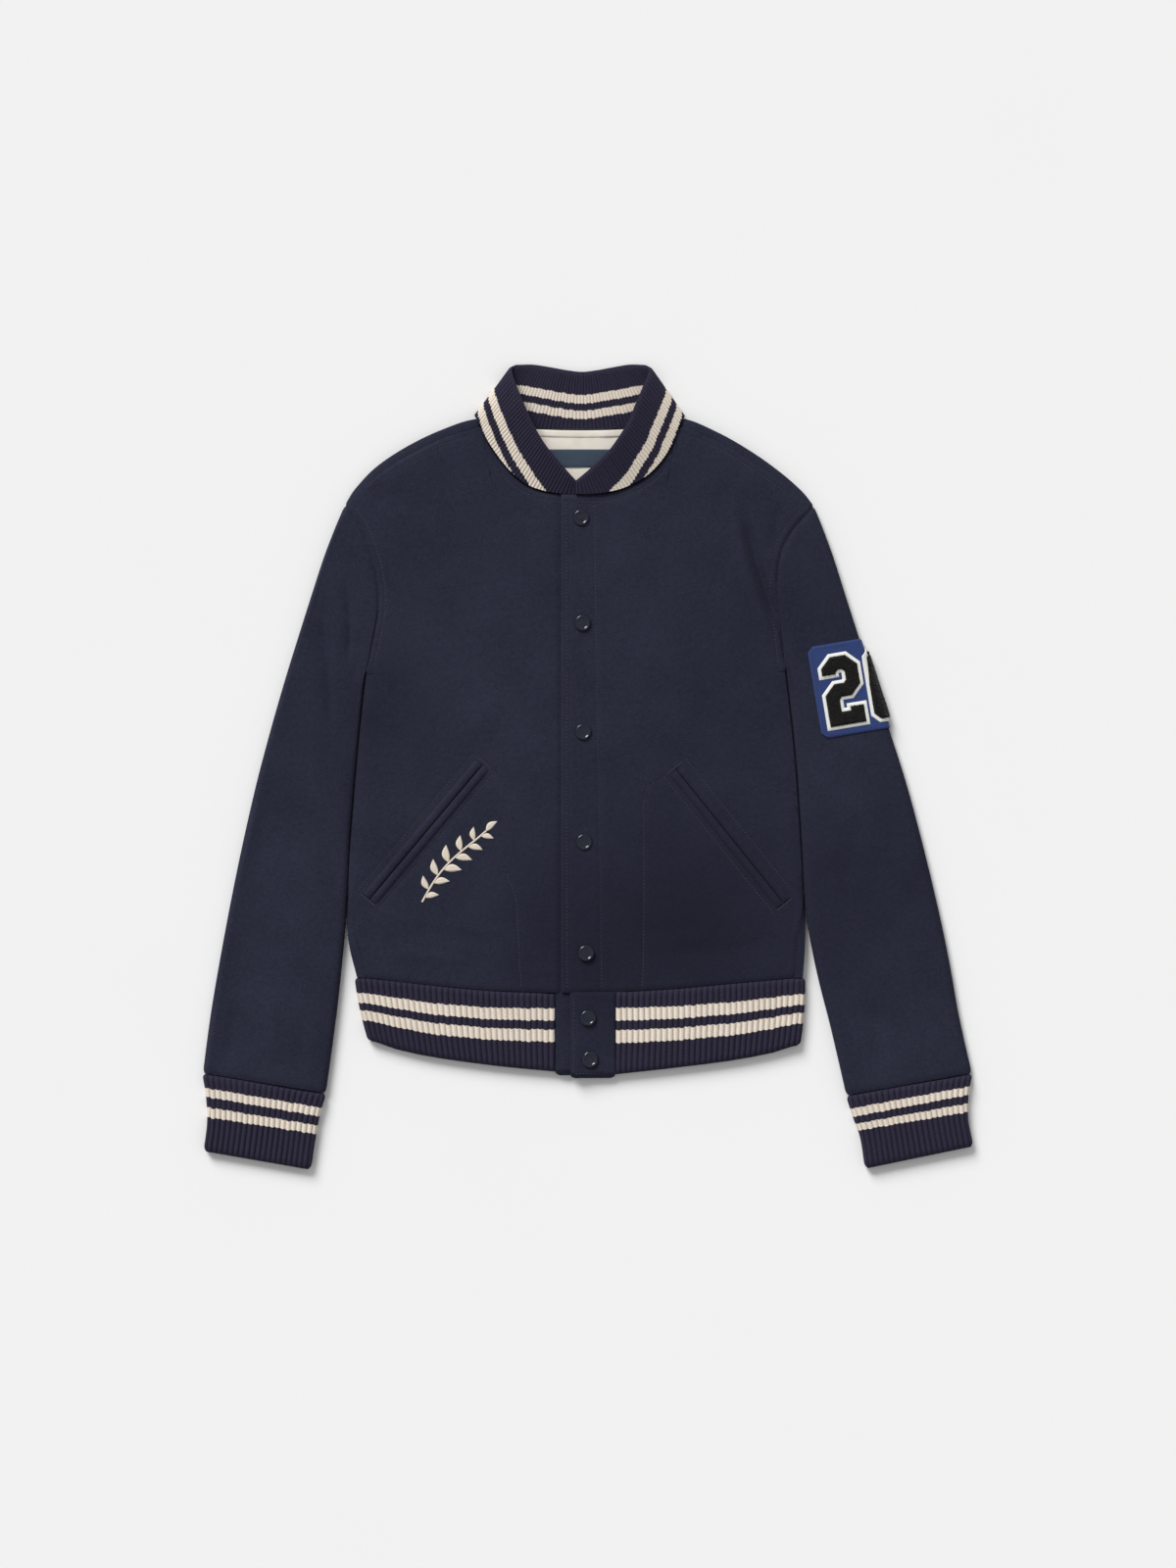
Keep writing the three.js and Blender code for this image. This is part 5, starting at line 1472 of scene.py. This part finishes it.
def stitched(path, height, pitch=None, length=None, radius=None):
    """Row of stitches along a line of points: each is a short spindle of six sides that dips at both ends."""
    pitch, length, radius = pitch or STITCH["pitch"], length or STITCH["length"], radius or STITCH["radius"]
    line = Curve(path)
    count = max(2, round(line.length / pitch))
    u = (np.arange(count) + 0.5) / count
    middle, along = line.at(u), line.tangent(u)
    middle[:, 2] = height(middle[:, 0], middle[:, 1])
    side = turned(along, 1)
    a = np.array([-0.5, -0.38, -0.15, 0.15, 0.38, 0.5]) * length
    r = np.array([0.25, 0.8, 1, 1, 0.8, 0.25]) * radius
    dip = np.array([-0.75, -0.3, 0, 0, -0.3, -0.75]) * radius
    turn = np.linspace(0, 2 * np.pi, 6, endpoint=False)
    across, up = r[:, None] * np.cos(turn), r[:, None] * np.sin(turn) * 0.8 + dip[:, None]
    p = (
        middle[:, None, None]
        + along[:, None, None] * a[None, :, None, None]
        + side[:, None, None] * across[None, ..., None]
        + np.array([0, 0, 1.0]) * up[None, ..., None]
    )
    index = np.arange(36).reshape(6, 6)
    after = np.roll(index, -1, axis=1)
    quads = np.stack([index[:-1], after[:-1], after[1:], index[1:]], -1).reshape(-1, 4)
    faces = (quads[None] + (np.arange(count) * 36)[:, None, None]).reshape(-1, 4)
    return p.reshape(-1, 3), faces


TAB_STITCH = np.array([(-12.5, -211), (-12.5, -281), (21, -281), (21, -211)])


def build_stitching():
    """Topstitching of the panels, in thread of the cloth's own colour."""
    parts = []

    def on(panel, sink=0.22):
        return lambda x, y: front_height(panel, x, y) - sink

    for name, half in (("right_front", RIGHT), ("left_front", LEFT)):
        lengths = np.linspace(9, half.armhole.length - 9, 16)
        parts.append(stitched(armhole_point(half, lengths, np.full(16, 6.7))[:, :2], on(name, 0.25)))
        at = np.linspace(0.06, 0.985, 18)
        parts.append(stitched(neck_line(half.neck, at, half.sign, 7.2), on(name, 0.25)))
        ts = np.linspace(0.14, 0.93, 12)
        edge, into = shoulder_edge(half, ts)
        line = (edge + into * (shoulder_seam_inset(ts) + 6.5)[:, None])[:, :2]
        parts.append(stitched(line, on(name, 0.25)))
    for panel, lines in STITCH_LINES.items():
        for line in lines:
            parts.append(stitched(line, on(panel, 0.35)))
    for side in SLITS:
        start, end, along, off = slit_axes(side)
        for middle in (start - along * 3.5, end + along * 3.5):
            bar = [middle - off * 8.5, middle, middle + off * 8.5]
            parts.append(stitched(bar, on(f"{side}_front", 0.0), 1.1, 1.6, 0.5))
    for a, b in zip(TAB_STITCH[:-1], TAB_STITCH[1:]):
        parts.append(stitched([a, (a + b) / 2, b], on("left_hem_tab")))
    points, faces = joined(parts)
    return make("topstitching", points, faces, NAVY_THREAD, "wool", sharp=80)


def build_patch_stitching():
    """Thread round the patch's margin."""
    margin = 3.0
    corner = PATCH_CHAMFER + margin
    bottom = [(a, margin) for a in np.linspace(50, corner, 8)]
    top = [(a, PATCH_HEIGHT - margin) for a in np.linspace(corner, 40, 8)]
    side = [(margin, corner), (margin, PATCH_HEIGHT - PATCH_CHAMFER - margin)]
    path = [*bottom, *side, *top]
    a, b = np.array(path, float).T
    height = PATCH_SEAT + PATCH_FELT
    line, _ = patch_point(a, b, height)
    parts = []
    for k in range(len(line) - 1):
        ends = [line[k], lerp(line[k], line[k + 1], 0.5), line[k + 1]]
        z = line[k][2]
        parts.append(stitched([p[:2] for p in ends], lambda x, y: z - 0.1 + 0 * x, 2.6, 2.0, 0.36))
    points, faces = joined(parts)
    return make("patch_stitching", points, faces, NAVY_THREAD, "felt", sharp=80)


# Leaf sprig worked in thread over the right pocket
SPRIG_FROM = np.array([-152.0, -124.0])
SPRIG_TO = np.array([-96.0, -57.0])


def leaf(root, heading, length, width, height):
    """Pointed oval of padded satin stitch: width follows a sine of its length, with a furrow down its
    middle."""
    u = shares(22)[:, None]
    v = shares(10)[None] * 2 - 1
    heading = unit(np.array(heading, float))
    side = np.array([-heading[1], heading[0]])
    half = width / 2 * np.sin(np.pi * u**0.85)
    curl = 0.1 * length * np.sin(np.pi * u)
    x = root[0] + heading[0] * u * length + side[0] * (v * half + curl)
    y = root[1] + heading[1] * u * length + side[1] * (v * half + curl)
    seat = height(x, y)
    dome = np.sqrt(np.clip(1 - v**2, 0, 1)) * (0.35 + 0.65 * np.sin(np.pi * u) ** 0.5)
    furrow = 0.3 * np.exp(-((v / 0.14) ** 2))
    ridges = 0.07 * np.sin(2 * np.pi * (u * length + np.abs(v) * width * 0.35) / 0.75)
    outer = np.stack([x, y, seat + 0.1 + 0.95 * dome - furrow * dome + ridges * dome], -1)
    inner = np.stack([x, y, seat - 0.25 + 0 * dome], -1)
    return wall_mesh(outer, inner)


def build_sprig():
    def height(x, y):
        return front_height("right_front", x, y)

    along = SPRIG_TO - SPRIG_FROM
    length = np.linalg.norm(along)
    along = along / length
    side = np.array([-along[1], along[0]])
    u = shares(12)
    bend = 4.5 * np.sin(u * np.pi * 1.25)
    stem = SPRIG_FROM + along * (u * length)[:, None] + side * bend[:, None]
    parts = [stitched(stem, lambda x, y: height(x, y) + 0.2, 1.3, 2.0, 0.95)]
    line = Curve(stem)
    for k, u in enumerate(np.linspace(0.06, 0.93, 11)):
        root = line.at(u)[:2]
        heading = line.tangent(u)[:2]
        out = np.array([-heading[1], heading[0]]) * (1 if k % 2 else -1)
        size = 17 - 5.5 * abs(u - 0.45) * 2
        parts.append(leaf(root + out * 0.6, heading * 0.8 + out, size, size * 0.42, height))
    parts.append(leaf(line.at(1.0)[:2], line.tangent(1.0)[:2], 14, 5.6, height))
    points, faces = joined(parts)
    return make("leaf_sprig", points, faces, CREAM_THREAD, "lining", sharp=80)


def build_floor():
    """Plain pale surface under the jacket."""
    g = Graph("surface", Roughness=0.9, Specular_IOR_Level=0.1)
    grain = g.noise(6, 2, 0.5)
    g.feed(Base_Color=g.mix(grain, (0.90, 0.90, 0.90), (0.915, 0.915, 0.915)))
    size = 6.0
    mesh = bpy.data.meshes.new("surface")
    corners = [(-size, -size), (size, -size), (size, size), (-size, size)]
    mesh.from_pydata([(x, y, -0.0002) for x, y in corners], [], [(0, 1, 2, 3)])
    mesh.materials.append(g.material)
    floor = bpy.data.objects.new("surface", mesh)
    bpy.context.scene.collection.objects.link(floor)
    floor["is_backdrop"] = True


def build_light():
    """Even light all round and a broad far lamp beyond the collar, a little to the right sleeve's side."""
    world = bpy.data.worlds.new("studio")
    world.use_nodes = True
    world.node_tree.nodes["Background"].inputs[0].default_value = (1, 1, 1, 1)
    world.node_tree.nodes["Background"].inputs[1].default_value = 0.42
    bpy.context.scene.world = world
    light = bpy.data.lights.new("key", "SUN")
    light.angle, light.energy = np.radians(28), 3.2
    lamp = bpy.data.objects.new("key", light)
    lamp.rotation_mode = "QUATERNION"
    lamp.rotation_quaternion = Vector((0.394, -0.738, -0.545)).to_track_quat("-Z", "Y")
    bpy.context.scene.collection.objects.link(lamp)
    bpy.context.scene.view_settings.view_transform = "Standard"


CAMERA_DISTANCE = 4.0
FRAME_HEIGHT = 1.44
FRAME_CENTRE = (0.0, -0.01575)
SENSOR = 36


def build_camera():
    data = bpy.data.cameras.new("camera")
    data.sensor_width = SENSOR
    data.lens = SENSOR * CAMERA_DISTANCE / FRAME_HEIGHT
    camera = bpy.data.objects.new("camera", data)
    camera.location = (*FRAME_CENTRE, CAMERA_DISTANCE)
    bpy.context.scene.collection.objects.link(camera)
    bpy.context.scene.camera = camera


build_camera()
build_floor()
build_light()
build_panels()
build_sleeves()
build_cuffs()
build_hem()
build_tabs()
build_collar()
build_neck()
build_pockets()
build_snaps()
build_patch()
build_stitching()
build_patch_stitching()
build_sprig()

boxes = {"cad": CAD_BOX, "visual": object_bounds()}
{key: [list(corner) for corner in box] for key, box in boxes.items()}
